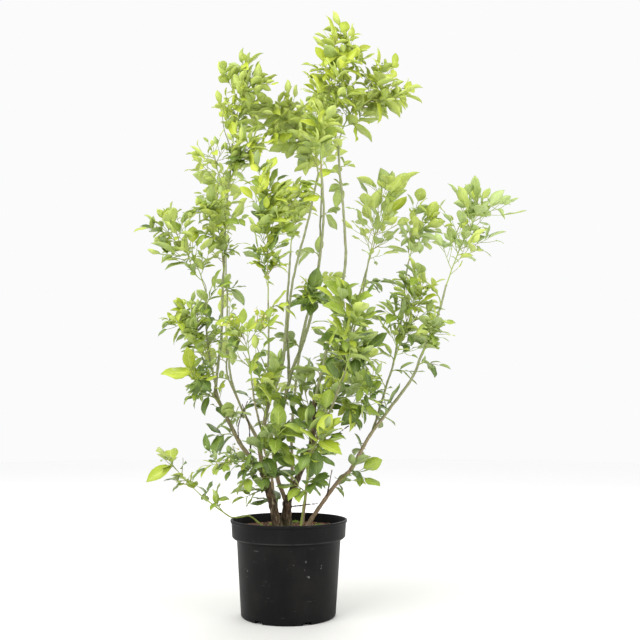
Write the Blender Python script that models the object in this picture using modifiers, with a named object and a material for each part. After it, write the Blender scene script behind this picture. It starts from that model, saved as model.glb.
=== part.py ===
"""A blueberry bush with many slender canes, standing in a round plastic nursery pot."""
import math
import random
from collections import namedtuple

import bmesh
import bpy
from mathutils import Vector
from mathutils.bvhtree import BVHTree

# Metres throughout, +Z up. The pot stands on z = 0 with its axis at x = y = 0,
# and the side that faces the viewer is -Y.
GAP = 0.0003
OBJECT = "blueberry_bush_in_pot"

# Pot
POT_HEIGHT = 0.2225
POT_STEPS = 40
RIM_RADIUS = 0.140
LIP_HEIGHT = 0.006
LIP_ROUND = 0.0015
COLLAR_RADIUS = 0.1375
COLLAR_FOOT_RADIUS = 0.1355
COLLAR_HEIGHT = 0.044
COLLAR_STEP = 0.0115
COLLAR_ROUND = 0.0045
COLLAR_FOOT = POT_HEIGHT - COLLAR_HEIGHT
WALL_TOP_RADIUS = COLLAR_FOOT_RADIUS - COLLAR_STEP
INSIDE_WIDENS = 0.0154
FOOT_RADIUS = 0.1107
FOOT_ROUND = 0.003
POT_WALL = 0.0026
FLOOR_THICKNESS = 0.008
DRAIN_NOTCHES = 6
NOTCH_WIDTH = 0.020
NOTCH_HEIGHT = 0.007
NOTCH_DEPTH = 0.007
NOTCH_FIRST_TURN = math.radians(-127.0)

# Compost
COMPOST_TOP = 0.201
COMPOST_GAP = 0.0004
SOIL = COMPOST_TOP + GAP
BURIED = 0.012

# Canes
CANE_SIDES = 5
OLD_LIMB_RADIUS = 0.0070
CANE_STEP = 0.075
CANE_WANDER = 0.0022
FLARE_HEIGHT = 0.030
FLARE = 1.22
TIP_SINK = 0.004
WELD = 0.000001

# Leaves and twigs
TWIG_SIDES = 3
STEM_STEP = 0.080
TWIG_RADIUS = 0.0013
TWIG_TIP_RADIUS = 0.0011
STEM_RADIUS = 0.0020
STEM_OF_HOST = 0.85
STEM_BEND = 0.35
FIRST_TWIG = 0.22
LAST_TWIG = 0.90
SHORTEST_TWIG = 0.022
TWIG_LENGTHS = (0.85, 1.25)
TWIG_SPREAD = math.radians(52.0)
TWIG_SPREADS = (0.8, 1.15)
TWIG_ROOT = 0.006
LEAF_LENGTH = 0.066
LEAF_WIDTH = 0.58
LEAF_THICKNESS = 0.022
LEAF_BROADEST = 0.46
LEAF_KEEL = 0.12
LEAF_LIFT = 0.05
LEAF_DROOP = 0.08
TIP_LEAF_SINK = 0.0010
STEM_LEAF_PLACES = (0.30, 0.45, 0.62, 0.86)
TWIG_LEAF_PLACES = (0.36, 0.76)
LEAVES_ON_A_TWIG = 1 + len(TWIG_LEAF_PLACES)
TWIG_LIFT = 0.15
LEAF_LENGTHS = (0.78, 1.16)
LEAF_SPREAD = math.radians(48.0)
LEAF_SPREADS = (0.75, 1.2)
LEAF_TILTS = (-0.7, 0.7)
LEAF_TILTS_FORWARD = (-0.9, 0.3)
UPRIGHT = 0.93
UPRIGHT_LEAF_FACES = (0.3, -1.0, 0.1)
GOLDEN_TURN = math.radians(137.5)
RETRY_TURN = 0.37
CLEAR = 0.0009
TOUCH_STEPS = 24
TRIES = 14

# A mass's space is widest a little past the middle of its stem
SPACE_SLACK = 1.02
WIDEST_AT = 0.53
SPINDLE_HALF = 0.59
NARROWEST = 0.35

# A limb springs from the compost or from a point along its host, bends at its
# knees and ends at its tip, with its radius at either end.
Limb = namedtuple("Limb", "name host start knees tip radii")
LIMBS = (
    Limb("left_trunk", None, (-0.021, -0.012), ((-0.042, -0.015, 0.267),),
         (-0.065, -0.020, 0.348), (0.0108, 0.0084)),
    Limb("centre_trunk", None, (-0.001, 0.020), ((-0.006, 0.020, 0.230),),
         (-0.006, 0.020, 0.262), (0.0112, 0.0102)),
    Limb("right_arch_foot", None, (0.034, -0.008), ((0.090, -0.020, 0.278),),
         (0.150, -0.030, 0.342), (0.0049, 0.0045)),
    Limb("right_arch", "right_arch_foot", 1.0,
         ((0.199, -0.030, 0.427), (0.298, -0.010, 0.558), (0.351, 0.000, 0.675)),
         (0.395, 0.015, 0.797), (0.0044, 0.0024)),
    Limb("curved_cane", "left_trunk", 1.0,
         ((-0.068, -0.020, 0.396), (-0.050, -0.010, 0.494), (-0.019, 0.040, 0.605), (-0.006, 0.090, 0.768)),
         (0.000, 0.120, 0.905), (0.0054, 0.0023)),
    Limb("left_arm", "left_trunk", 0.91, ((-0.120, -0.030, 0.406),),
         (-0.179, -0.050, 0.524), (0.0055, 0.0040)),
    Limb("left_tall_cane", "left_arm", 1.0, ((-0.168, 0.010, 0.703), (-0.167, 0.040, 0.938)),
         (-0.153, 0.050, 1.172), (0.0033, 0.0020)),
    Limb("left_outer_cane", "left_arm", 0.90, ((-0.195, -0.065, 0.645),),
         (-0.204, -0.050, 0.772), (0.0025, 0.0018)),
    Limb("left_inner_cane", "curved_cane", 0.08, ((-0.110, 0.050, 0.470), (-0.161, 0.100, 0.580)),
         (-0.165, 0.120, 0.665), (0.0028, 0.0019)),
    Limb("front_left_cane", "curved_cane", 0.14, ((-0.072, -0.110, 0.469),),
         (-0.082, -0.190, 0.545), (0.0028, 0.0019)),
    Limb("straight_cane", "curved_cane", 0.23, ((-0.050, -0.075, 0.625),),
         (-0.050, -0.110, 0.730), (0.0026, 0.0019)),
    Limb("tall_cane", "centre_trunk", 0.96,
         ((-0.038, 0.045, 0.372), (0.006, 0.050, 0.578), (0.060, 0.010, 0.740), (0.081, -0.030, 0.965)),
         (0.076, -0.040, 1.072), (0.0054, 0.0025)),
    Limb("centre_right_limb", "centre_trunk", 0.94, ((0.028, 0.000, 0.335), (0.058, -0.010, 0.414)),
         (0.061, 0.000, 0.506), (0.0080, 0.0048)),
    Limb("bowed_cane", "tall_cane", 0.36, ((-0.003, 0.080, 0.753), (0.044, 0.095, 0.975)),
         (0.074, 0.100, 1.115), (0.0034, 0.0026)),
    Limb("right_tall_cane", "centre_right_limb", 1.0, ((0.097, 0.010, 0.648), (0.140, 0.030, 0.860)),
         (0.123, 0.040, 1.183), (0.0042, 0.0027)),
    Limb("inner_right_cane", "centre_right_limb", 0.62, ((0.102, 0.070, 0.522), (0.172, 0.110, 0.718)),
         (0.208, 0.120, 0.884), (0.0028, 0.0018)),
    Limb("front_right_cane", "centre_right_limb", 0.50, ((0.087, -0.100, 0.459),),
         (0.127, -0.190, 0.565), (0.0033, 0.0022)),
    Limb("outer_right_cane", "right_arch", 0.20, ((0.260, 0.060, 0.597), (0.297, 0.110, 0.760)),
         (0.315, 0.130, 0.877), (0.0029, 0.0019)),
    Limb("left_sucker", None, (-0.050, 0.032), ((-0.095, 0.020, 0.2260), (-0.141, 0.000, 0.2285)),
         (-0.214, -0.010, 0.282), (0.0020, 0.0015)),
    Limb("green_shoot", None, (0.026, -0.032), ((0.036, -0.055, 0.270),),
         (0.045, -0.090, 0.346), (0.0026, 0.0021)),
    Limb("rear_left_cane", None, (-0.030, 0.055), ((-0.062, 0.130, 0.370), (-0.160, 0.210, 0.567)),
         (-0.187, 0.290, 0.945), (0.0038, 0.0022)),
    Limb("rear_right_cane", None, (0.030, 0.055), ((0.062, 0.130, 0.385), (0.127, 0.210, 0.567)),
         (0.217, 0.300, 0.887), (0.0038, 0.0022)),
    Limb("rear_centre_cane", None, (0.000, 0.072), ((0.018, 0.190, 0.600), (0.075, 0.250, 0.880)),
         (0.087, 0.280, 1.150), (0.0040, 0.0024)),
)

# A mass of foliage grows on one stem from a point along its limb to its tip,
# inside a spindle as wide as its reach, with about so many leaves.
Mass = namedtuple("Mass", "name host along tip reach leaves seed")
MASSES = (
    Mass("top_foliage", "tall_cane", 1.0, (0.140, -0.035, 1.448), 0.090, 32, 11),
    Mass("top_right_foliage", "right_tall_cane", 1.0, (0.262, 0.020, 1.318), 0.105, 30, 12),
    Mass("upper_centre_foliage", "bowed_cane", 1.0, (-0.045, 0.100, 1.285), 0.098, 28, 13),
    Mass("upper_left_foliage", "left_tall_cane", 1.0, (-0.115, 0.040, 1.350), 0.095, 26, 14),
    Mass("left_shoulder_foliage", "left_tall_cane", 0.70, (-0.200, 0.000, 1.135), 0.088, 18, 15),
    Mass("left_column_foliage", "left_tall_cane", 0.48, (-0.190, -0.060, 0.980), 0.075, 18, 16),
    Mass("upper_middle_foliage", "left_tall_cane", 0.82, (-0.103, -0.010, 1.157), 0.074, 14, 44),
    Mass("left_far_foliage", "left_outer_cane", 1.0, (-0.310, -0.070, 0.920), 0.085, 22, 17),
    Mass("straight_cane_foliage", "straight_cane", 1.0, (-0.052, -0.150, 1.050), 0.074, 22, 18),
    Mass("curved_cane_foliage", "curved_cane", 1.0, (0.015, 0.140, 1.085), 0.070, 20, 19),
    Mass("right_upper_foliage", "inner_right_cane", 1.0, (0.265, 0.100, 1.080), 0.085, 20, 20),
    Mass("right_inner_foliage", "outer_right_cane", 1.0, (0.360, 0.140, 1.000), 0.082, 18, 21),
    Mass("right_far_foliage", "right_arch", 1.0, (0.490, 0.000, 1.015), 0.092, 26, 22),
    Mass("right_middle_foliage", "outer_right_cane", 0.40, (0.333, 0.045, 0.814), 0.086, 20, 23),
    Mass("right_arch_foliage", "right_arch", 0.63, (0.360, -0.065, 0.680), 0.060, 10, 24),
    Mass("front_right_foliage", "front_right_cane", 1.0, (0.130, -0.270, 0.710), 0.085, 18, 25),
    Mass("centre_right_foliage", "inner_right_cane", 0.30, (0.180, 0.015, 0.640), 0.080, 18, 26),
    Mass("low_right_foliage", "centre_right_limb", 0.80, (0.197, -0.110, 0.520), 0.088, 16, 27),
    Mass("left_middle_foliage", "left_outer_cane", 0.25, (-0.250, -0.100, 0.715), 0.080, 18, 28),
    Mass("left_low_foliage", "left_arm", 0.72, (-0.225, -0.130, 0.570), 0.075, 16, 29),
    Mass("centre_left_foliage", "left_inner_cane", 1.0, (-0.160, 0.140, 0.765), 0.060, 10, 30),
    Mass("front_left_foliage", "front_left_cane", 1.0, (-0.090, -0.260, 0.650), 0.075, 16, 31),
    Mass("low_centre_left_foliage", "curved_cane", 0.19, (-0.060, -0.130, 0.555), 0.070, 14, 32),
    Mass("heart_foliage", "centre_right_limb", 0.52, (0.026, 0.095, 0.575), 0.073, 12, 33),
    Mass("low_centre_foliage", "green_shoot", 1.0, (0.065, -0.170, 0.420), 0.075, 13, 34),
    Mass("low_front_foliage", "left_trunk", 0.70, (-0.020, -0.130, 0.435), 0.066, 12, 45),
    Mass("foot_left_foliage", "left_trunk", 0.55, (-0.105, -0.100, 0.350), 0.060, 9, 35),
    Mass("low_left_foliage", "left_trunk", 0.84, (-0.190, -0.120, 0.355), 0.055, 10, 36),
    Mass("sucker_foliage", "left_sucker", 1.0, (-0.285, -0.020, 0.360), 0.060, 9, 37),
    Mass("low_right_foot_foliage", "right_arch_foot", 0.76, (0.166, -0.088, 0.338), 0.060, 9, 38),
    Mass("flower_cluster_foliage", "tall_cane", 0.57, (0.055, -0.070, 0.760), 0.060, 9, 39),
    Mass("rear_top_foliage", "rear_centre_cane", 1.0, (0.070, 0.300, 1.360), 0.090, 16, 40),
    Mass("rear_left_foliage", "rear_left_cane", 1.0, (-0.215, 0.320, 1.150), 0.085, 12, 41),
    Mass("rear_right_foliage", "rear_right_cane", 1.0, (0.270, 0.320, 1.060), 0.085, 12, 42),
    Mass("rear_low_foliage", "rear_right_cane", 0.50, (0.175, 0.285, 0.665), 0.080, 12, 43),
)

# Colours and roughnesses
Look = namedtuple("Look", "colour roughness")
BLACK_PLASTIC = Look((0.022, 0.022, 0.024), 0.45)
BROWN_COMPOST = Look((0.085, 0.045, 0.026), 0.95)
OLD_BARK = Look((0.17, 0.12, 0.075), 0.85)
GREEN_BARK = Look((0.24, 0.26, 0.09), 0.70)
GREEN_LEAF = Look((0.30, 0.42, 0.07), 0.55)
YOUNG_LEAF = Look((0.46, 0.58, 0.10), 0.55)
YOUNG_LEAVES_ABOVE = 1.05


def clear_scene():
    """Remove the objects of the opening scene."""
    for item in list(bpy.data.objects):
        bpy.data.objects.remove(item, do_unlink=True)


def collection(name, hidden=False):
    """A new collection in the scene."""
    made = bpy.data.collections.new(name)
    bpy.context.scene.collection.children.link(made)
    made.hide_render = hidden
    return made


def add_mesh(name, bm, place):
    """An object in a collection from a bmesh, which is freed."""
    bmesh.ops.recalc_face_normals(bm, faces=bm.faces)
    mesh = bpy.data.meshes.new(name)
    bm.to_mesh(mesh)
    bm.free()
    made = bpy.data.objects.new(name, mesh)
    place.objects.link(made)
    return made


def finish(part, look):
    """Give a part its own Principled material."""
    material = bpy.data.materials.new(part.name)
    material.use_nodes = True
    shader = material.node_tree.nodes["Principled BSDF"]
    shader.inputs["Base Color"].default_value = (*look.colour, 1.0)
    shader.inputs["Roughness"].default_value = look.roughness
    part.data.materials.clear()
    part.data.materials.append(material)


def largest_island(mesh):
    """Drop loose scrap, so that one closed body is left."""
    bm = bmesh.new()
    bm.from_mesh(mesh)
    unseen = set(bm.verts)
    islands = []
    while unseen:
        front = [unseen.pop()]
        island = set(front)
        while front:
            here = front.pop()
            for edge in here.link_edges:
                there = edge.other_vert(here)
                if there in unseen:
                    unseen.remove(there)
                    island.add(there)
                    front.append(there)
        islands.append(island)
    islands.sort(key=len, reverse=True)
    for scrap in islands[1:]:
        bmesh.ops.delete(bm, geom=list(scrap), context="VERTS")
    bm.to_mesh(mesh)
    bm.free()


def apply_boolean(part, operation, cutter=None, group=None, solver="EXACT"):
    """Apply one Boolean with an object or a collection of them."""
    modifier = part.modifiers.new(operation, "BOOLEAN")
    modifier.operation = operation
    modifier.solver = solver
    if group is not None:
        modifier.operand_type = "COLLECTION"
        modifier.collection = group
    else:
        modifier.object = cutter
    depsgraph = bpy.context.evaluated_depsgraph_get()
    mesh = bpy.data.meshes.new_from_object(part.evaluated_get(depsgraph))
    part.modifiers.clear()
    old = part.data
    part.data = mesh
    bpy.data.meshes.remove(old)
    largest_island(part.data)


def remove(parts):
    """Remove helper objects."""
    for part in list(parts):
        bpy.data.objects.remove(part, do_unlink=True)


def turned(name, profile, place):
    """A solid turned round the Z axis from a profile of (radius, height) points."""
    bm = bmesh.new()
    verts = [bm.verts.new((radius, 0.0, height)) for radius, height in profile]
    for first, second in zip(verts, verts[1:]):
        bm.edges.new((first, second))
    mesh = bpy.data.meshes.new(name)
    bm.to_mesh(mesh)
    bm.free()
    part = bpy.data.objects.new(name, mesh)
    place.objects.link(part)
    screw = part.modifiers.new("turn", "SCREW")
    screw.steps = POT_STEPS
    screw.render_steps = POT_STEPS
    screw.use_merge_vertices = True
    screw.merge_threshold = 0.0001
    screw.use_normal_calculate = True
    depsgraph = bpy.context.evaluated_depsgraph_get()
    part.data = bpy.data.meshes.new_from_object(part.evaluated_get(depsgraph))
    part.modifiers.clear()
    bpy.data.meshes.remove(mesh)
    bm = bmesh.new()
    bm.from_mesh(part.data)
    bmesh.ops.recalc_face_normals(bm, faces=bm.faces)
    bm.to_mesh(part.data)
    bm.free()
    return part


def inner_radius(height):
    """The pot's inner radius at a height above its floor."""
    share = min(height / COLLAR_FOOT, 1.0)
    straight = FOOT_RADIUS + (WALL_TOP_RADIUS - FOOT_RADIUS) * share - POT_WALL
    widening = min(max(height - COLLAR_FOOT, 0.0) / INSIDE_WIDENS, 1.0)
    return straight + (COLLAR_FOOT_RADIUS - POT_WALL - straight) * widening


def pot_profile():
    """The pot's section: inside up to the lip, then down the collar and the wall."""
    widened = COLLAR_FOOT + INSIDE_WIDENS
    return [
        (0.0, FLOOR_THICKNESS),
        (inner_radius(FLOOR_THICKNESS), FLOOR_THICKNESS),
        (inner_radius(COLLAR_FOOT), COLLAR_FOOT),
        (inner_radius(widened), widened),
        (COLLAR_RADIUS - POT_WALL, POT_HEIGHT - LIP_ROUND),
        (COLLAR_RADIUS - POT_WALL + LIP_ROUND, POT_HEIGHT),
        (RIM_RADIUS - LIP_ROUND, POT_HEIGHT),
        (RIM_RADIUS, POT_HEIGHT - LIP_ROUND),
        (RIM_RADIUS, POT_HEIGHT - LIP_HEIGHT),
        (COLLAR_RADIUS, POT_HEIGHT - LIP_HEIGHT - LIP_ROUND),
        (COLLAR_FOOT_RADIUS, COLLAR_FOOT + COLLAR_ROUND),
        (COLLAR_FOOT_RADIUS - COLLAR_ROUND, COLLAR_FOOT),
        (WALL_TOP_RADIUS, COLLAR_FOOT - COLLAR_ROUND / 2),
        (FOOT_RADIUS + FOOT_ROUND / 2, FOOT_ROUND),
        (FOOT_RADIUS - FOOT_ROUND / 2, 0.0),
        (0.0, 0.0),
    ]


def make_pot(parts, cutters):
    """The pot, with drainage notches round its foot."""
    pot = turned("pot", pot_profile(), parts)
    for number in range(DRAIN_NOTCHES):
        turn = NOTCH_FIRST_TURN + math.tau * number / DRAIN_NOTCHES
        bm = bmesh.new()
        bmesh.ops.create_cube(bm, size=1.0)
        for vert in bm.verts:
            out = vert.co.x * 2 * NOTCH_DEPTH + FOOT_RADIUS
            side = vert.co.y * NOTCH_WIDTH
            up = vert.co.z * 2 * NOTCH_HEIGHT
            vert.co = (out * math.cos(turn) - side * math.sin(turn),
                       out * math.sin(turn) + side * math.cos(turn), up)
        add_mesh(f"drain_notch_{number + 1}", bm, cutters)
    apply_boolean(pot, "DIFFERENCE", group=cutters)
    remove(cutters.objects)
    finish(pot, BLACK_PLASTIC)
    return pot


def make_compost(parts):
    """The compost that fills the pot up to a flat top."""
    floor = FLOOR_THICKNESS + COMPOST_GAP
    heights = (COMPOST_TOP, COLLAR_FOOT + INSIDE_WIDENS, COLLAR_FOOT, floor)
    profile = [(0.0, COMPOST_TOP)]
    profile += [(inner_radius(height) - COMPOST_GAP, height) for height in heights]
    profile.append((0.0, floor))
    compost = turned("compost", profile, parts)
    finish(compost, BROWN_COMPOST)
    return compost


def smooth(points, step):
    """A smooth route through some points, cut into steps of about one length."""
    ends = [points[0] * 2 - points[1]] + list(points) + [points[-1] * 2 - points[-2]]
    route = [points[0].copy()]
    for before, start, stop, after in zip(ends, ends[1:], ends[2:], ends[3:]):
        count = max(2, round((stop - start).length / step))
        for number in range(1, count + 1):
            t = number / count
            route.append(0.5 * (2 * start + (stop - before) * t
                                + (2 * before - 5 * start + 4 * stop - after) * t * t
                                + (3 * start - before - 3 * stop + after) * t ** 3))
    return route


def lengths(route):
    """How far along a route each of its points lies, as a share of the whole."""
    total = [0.0]
    for first, second in zip(route, route[1:]):
        total.append(total[-1] + (second - first).length)
    return [value / total[-1] for value in total]


def along_route(route, share):
    """The point and the direction at a share of a route's length."""
    shares = lengths(route)
    for number in range(len(route) - 1):
        if share <= shares[number + 1] or number == len(route) - 2:
            span = shares[number + 1] - shares[number]
            part = (share - shares[number]) / span
            point = route[number].lerp(route[number + 1], part)
            return point, (route[number + 1] - route[number]).normalized()


def polygon(sides):
    """A closed curve of a few sides, the section of a tube."""
    curve = bpy.data.curves.new("section", "CURVE")
    curve.dimensions = "3D"
    spline = curve.splines.new("POLY")
    spline.points.add(sides - 1)
    for number, point in enumerate(spline.points):
        turn = math.tau * number / sides
        point.co = (math.cos(turn), math.sin(turn), 0.0, 1.0)
    spline.use_cyclic_u = True
    section = bpy.data.objects.new("section", curve)
    bpy.context.scene.collection.objects.link(section)
    return section


def tube(name, route, radii, sides, place):
    """A tapering tube with flat ends along a route, as one closed mesh."""
    section = polygon(sides)
    curve = bpy.data.curves.new(name, "CURVE")
    curve.dimensions = "3D"
    curve.bevel_mode = "OBJECT"
    curve.bevel_object = section
    curve.use_fill_caps = True
    curve.twist_mode = "MINIMUM"
    spline = curve.splines.new("POLY")
    spline.points.add(len(route) - 1)
    for point, centre, radius in zip(spline.points, route, radii):
        point.co = (*centre, 1.0)
        point.radius = radius
    path = bpy.data.objects.new(name, curve)
    bpy.context.scene.collection.objects.link(path)
    depsgraph = bpy.context.evaluated_depsgraph_get()
    mesh = bpy.data.meshes.new_from_object(path.evaluated_get(depsgraph))
    mesh.transform(path.matrix_world)
    remove([path, section])
    bpy.data.curves.remove(curve)
    bm = bmesh.new()
    bm.from_mesh(mesh)
    bpy.data.meshes.remove(mesh)
    bmesh.ops.remove_doubles(bm, verts=bm.verts, dist=WELD)
    return add_mesh(name, bm, place)


def limb_route(limb, routes, number):
    """A limb's centre line, with slight bends at its leaf scars."""
    if limb.host is None:
        start = Vector((*limb.start, COMPOST_TOP - BURIED))
    else:
        host = routes[limb.host]
        start, direction = along_route(host, min(limb.start, 1.0))
        if limb.start >= 1.0:
            start = start - direction * TIP_SINK
    points = [start] + [Vector(knee) for knee in limb.knees] + [Vector(limb.tip)]
    route = smooth(points, CANE_STEP)
    rng = random.Random(number)
    for point in route[2:-1]:
        point.x += rng.uniform(-CANE_WANDER, CANE_WANDER)
        point.y += rng.uniform(-CANE_WANDER, CANE_WANDER)
    return route


def limb_radii(limb, route, swell=0.0):
    """A limb's radius at each point of its route, with a flare at a rooted foot."""
    foot, tip = limb.radii
    radii = []
    for share, point in zip(lengths(route), route):
        radius = foot + (tip - foot) * share
        if limb.host is None:
            above = max(point.z - SOIL, 0.0) / FLARE_HEIGHT
            radius *= 1.0 + (FLARE - 1.0) * max(1.0 - above, 0.0)
        radii.append(radius + swell)
    return radii


def swollen_limb(limb, route, place):
    """A limb's tube made fuller all round by the gap that others keep from it."""
    fuller = list(route)
    fuller[-1] = route[-1] + (route[-1] - route[-2]).normalized() * GAP
    swell = GAP / math.cos(math.pi / CANE_SIDES)
    return tube(f"{limb.name}_cutter", fuller, limb_radii(limb, route, swell), CANE_SIDES, place)


def tree_of(part):
    """A search tree over a part's faces."""
    bm = bmesh.new()
    bm.from_mesh(part.data)
    tree = BVHTree.FromBMesh(bm)
    bm.free()
    return tree


def make_limbs(parts, cutters):
    """Every limb, cut clear of the ones before it and flat at the compost."""
    bm = bmesh.new()
    bmesh.ops.create_cube(bm, size=1.0)
    for vert in bm.verts:
        vert.co = (vert.co.x * RIM_RADIUS * 2, vert.co.y * RIM_RADIUS * 2,
                   SOIL - BURIED * 2 * (0.5 - vert.co.z))
    ground = add_mesh("ground_cutter", bm, cutters)
    routes = {}
    limbs = {}
    swollen = {}
    for number, limb in enumerate(LIMBS):
        route = limb_route(limb, routes, number)
        part = tube(limb.name, route, limb_radii(limb, route), CANE_SIDES, parts)
        if limb.host is None:
            apply_boolean(part, "DIFFERENCE", ground)
        for earlier, cutter in swollen.items():
            if tree_of(part).overlap(tree_of(cutter)):
                apply_boolean(part, "DIFFERENCE", cutter)
        old = limb.radii[0] > OLD_LIMB_RADIUS
        finish(part, OLD_BARK if old else GREEN_BARK)
        routes[limb.name] = route
        limbs[limb.name] = part
        swollen[limb.name] = swollen_limb(limb, route, cutters)
    return routes, limbs, swollen


def leaf_shape(name, base, direction, up, length, place, swell=0.0):
    """A pointed leaf of six faces, folded along its midrib and drooping at its tip."""
    side = direction.cross(up).normalized()
    above = side.cross(direction).normalized()
    middle = base + direction * length * LEAF_BROADEST + above * LEAF_LIFT * length
    half_width = length * LEAF_WIDTH / 2 + swell
    corners = {
        "base": base - direction * swell,
        "tip": base + direction * (length + swell) - above * LEAF_DROOP * length,
        "left": middle - side * half_width + above * swell,
        "right": middle + side * half_width + above * swell,
        "keel": base + direction * length * LEAF_KEEL - above * (length * LEAF_THICKNESS + swell),
    }
    bm = bmesh.new()
    bmesh.ops.create_uvsphere(bm, u_segments=3, v_segments=2, radius=1.0)
    poles = sorted(bm.verts, key=lambda vert: vert.co.z)
    ring = sorted(poles[1:-1], key=lambda vert: math.atan2(vert.co.y, vert.co.x))
    for vert, corner in zip([poles[0], *ring, poles[-1]], ("base", "left", "keel", "right", "tip")):
        vert.co = corners[corner]
    return add_mesh(name, bm, place)


class Space:
    """The spindle-shaped space that a mass keeps to."""

    def __init__(self, start, tip, reach):
        self.axis = (tip - start).normalized()
        self.centre = (start + tip) / 2 + self.axis * LEAF_LENGTH / 2
        self.half = (tip - start).length / 2 + LEAF_LENGTH / 2
        self.reach = reach

    def holds(self, point):
        """Whether a point lies in the space."""
        offset = point - self.centre
        lengthwise = offset.dot(self.axis)
        across = (offset - self.axis * lengthwise).length
        return (lengthwise / self.half) ** 2 + (across / self.reach) ** 2 <= SPACE_SLACK

    def width(self, share):
        """How wide the space is at a share of its stem."""
        offset = (share - WIDEST_AT) / SPINDLE_HALF
        return self.reach * max(math.sqrt(max(1.0 - offset ** 2, 0.0)), NARROWEST)


def touches(tree, route, radius):
    """Whether a thin route comes near a tree's faces."""
    return any(tree.find_nearest(point, radius + CLEAR)[0] for point in route)


def outward(along, turn):
    """The direction square to a route at a turn round it."""
    across = along.orthogonal().normalized()
    return across * math.cos(turn) + along.cross(across) * math.sin(turn)


def squared(tree, base, along, out):
    """An outward direction brought square to the side of the twig that it leaves by."""
    hit, normal, _, _ = tree.ray_cast(base, out)
    if hit is None:
        return out
    return (normal - along * normal.dot(along)).normalized()


def twig_route(stem, share, turn, length, rng):
    """A side twig that leaves its stem outward and upward."""
    start, along = along_route(stem, share)
    spread = TWIG_SPREAD * rng.uniform(*TWIG_SPREADS)
    direction = along * math.cos(spread) + outward(along, turn) * math.sin(spread)
    lifted = (direction + Vector((0.0, 0.0, TWIG_LIFT))).normalized()
    return [start, start + lifted * length]


def fine_steps(route):
    """Points close together along a route, for the touch test."""
    points = []
    for first, second in zip(route, route[1:]):
        points += [first.lerp(second, number / TOUCH_STEPS) for number in range(TOUCH_STEPS)]
    return points + [route[-1]]


class Growth:
    """One mass as it grows: its stem, its twigs and then its leaves."""

    def __init__(self, mass, routes, swollen):
        self.mass = mass
        self.group = collection(f"{mass.name}_pieces")
        self.rng = random.Random(mass.seed)
        self.phase = self.rng.uniform(0.0, math.tau)
        self.others = []
        self.leaf_trees = []
        self.count = 0
        start, along = along_route(routes[mass.host], mass.along)
        if mass.along >= 1.0:
            start = start - along * TIP_SINK
        tip = Vector(mass.tip)
        control = start + along * (tip - start).length * STEM_BEND
        middle = (start + tip) / 4 + control / 2
        self.stem = smooth([start, middle, tip], STEM_STEP)
        self.space = Space(start, tip, mass.reach)
        host_limb = next(limb for limb in LIMBS if limb.name == mass.host)
        thickest = min(host_limb.radii[1] * STEM_OF_HOST, STEM_RADIUS)
        radii = [thickest + (TWIG_TIP_RADIUS - thickest) * share for share in lengths(self.stem)]
        self.stem_part = tube("stem", self.stem, radii, TWIG_SIDES, self.group)
        apply_boolean(self.stem_part, "DIFFERENCE", swollen[mass.host])
        self.wood = [(self.stem_part, self.stem)]

    def grow_twigs(self):
        """Side twigs up the stem at the golden angle."""
        number_of_twigs = max(1, round((self.mass.leaves - 3) / LEAVES_ON_A_TWIG))
        for number in range(number_of_twigs):
            share = FIRST_TWIG + (LAST_TWIG - FIRST_TWIG) * (number + 0.5) / number_of_twigs
            for attempt in range(TRIES):
                turn = self.phase + (number + attempt * RETRY_TURN) * GOLDEN_TURN
                room = self.space.width(share) - LEAF_LENGTH / 2
                length = max(room, SHORTEST_TWIG) * self.rng.uniform(*TWIG_LENGTHS)
                route = twig_route(self.stem, share, turn, length, self.rng)
                if self.twig_fits(route):
                    self.add_twig(route)
                    break

    def twig_fits(self, route):
        """Whether a twig keeps to the space and touches nothing but its stem."""
        if not self.space.holds(route[-1]):
            return False
        points = fine_steps(route)
        if any(touches(tree, points, TWIG_RADIUS) for tree in self.others):
            return False
        free = [point for point in points if (point - route[0]).length > TWIG_ROOT]
        return not any(touches(tree_of(part), free, TWIG_RADIUS) for part, _ in self.wood)

    def add_twig(self, route):
        """Add a side twig to the wood."""
        radii = [TWIG_RADIUS + (TWIG_TIP_RADIUS - TWIG_RADIUS) * share for share in lengths(route)]
        part = tube("twig", route, radii, TWIG_SIDES, self.group)
        self.wood.append((part, route))

    def grow_leaves(self):
        """A leaf at the end of each twig and others in turn along it."""
        trees = [tree_of(part) for part, _ in self.wood]
        for number, (part, route) in enumerate(self.wood):
            own = trees[number]
            others = trees[:number] + trees[number + 1:]
            self.add_leaf(route, 1.0, 0.0, own, others)
            places = STEM_LEAF_PLACES if part is self.stem_part else TWIG_LEAF_PLACES
            for place, share in enumerate(places):
                for attempt in range(TRIES):
                    turn = self.phase + (number + place + attempt * RETRY_TURN) * GOLDEN_TURN
                    if self.count >= self.mass.leaves:
                        return
                    if self.add_leaf(route, share, turn, own, others):
                        break

    def add_leaf(self, route, share, turn, own, others):
        """Add a leaf if it keeps to the space and touches only its own twig."""
        base, along = along_route(route, share)
        length = LEAF_LENGTH * self.rng.uniform(*LEAF_LENGTHS)
        if share >= 1.0:
            direction = along
            base = base - along * TIP_LEAF_SINK
        else:
            out = squared(own, base, along, outward(along, turn))
            spread = LEAF_SPREAD * self.rng.uniform(*LEAF_SPREADS)
            direction = along * math.cos(spread) + out * math.sin(spread)
        up = Vector((self.rng.uniform(*LEAF_TILTS), self.rng.uniform(*LEAF_TILTS_FORWARD), 1.0))
        if abs(up.normalized().dot(direction)) > UPRIGHT:
            up = Vector(UPRIGHT_LEAF_FACES)
        if share < 1.0 and not self.space.holds(base + direction * length):
            return False
        trial = leaf_shape("trial", base, direction, up, length, self.group, CLEAR)
        tree = tree_of(trial)
        remove([trial])
        if any(tree.overlap(other) for other in self.others + others + self.leaf_trees):
            return False
        leaf = leaf_shape("leaf", base, direction, up, length, self.group)
        self.leaf_trees.append(tree_of(leaf))
        self.count += 1
        return True


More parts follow.
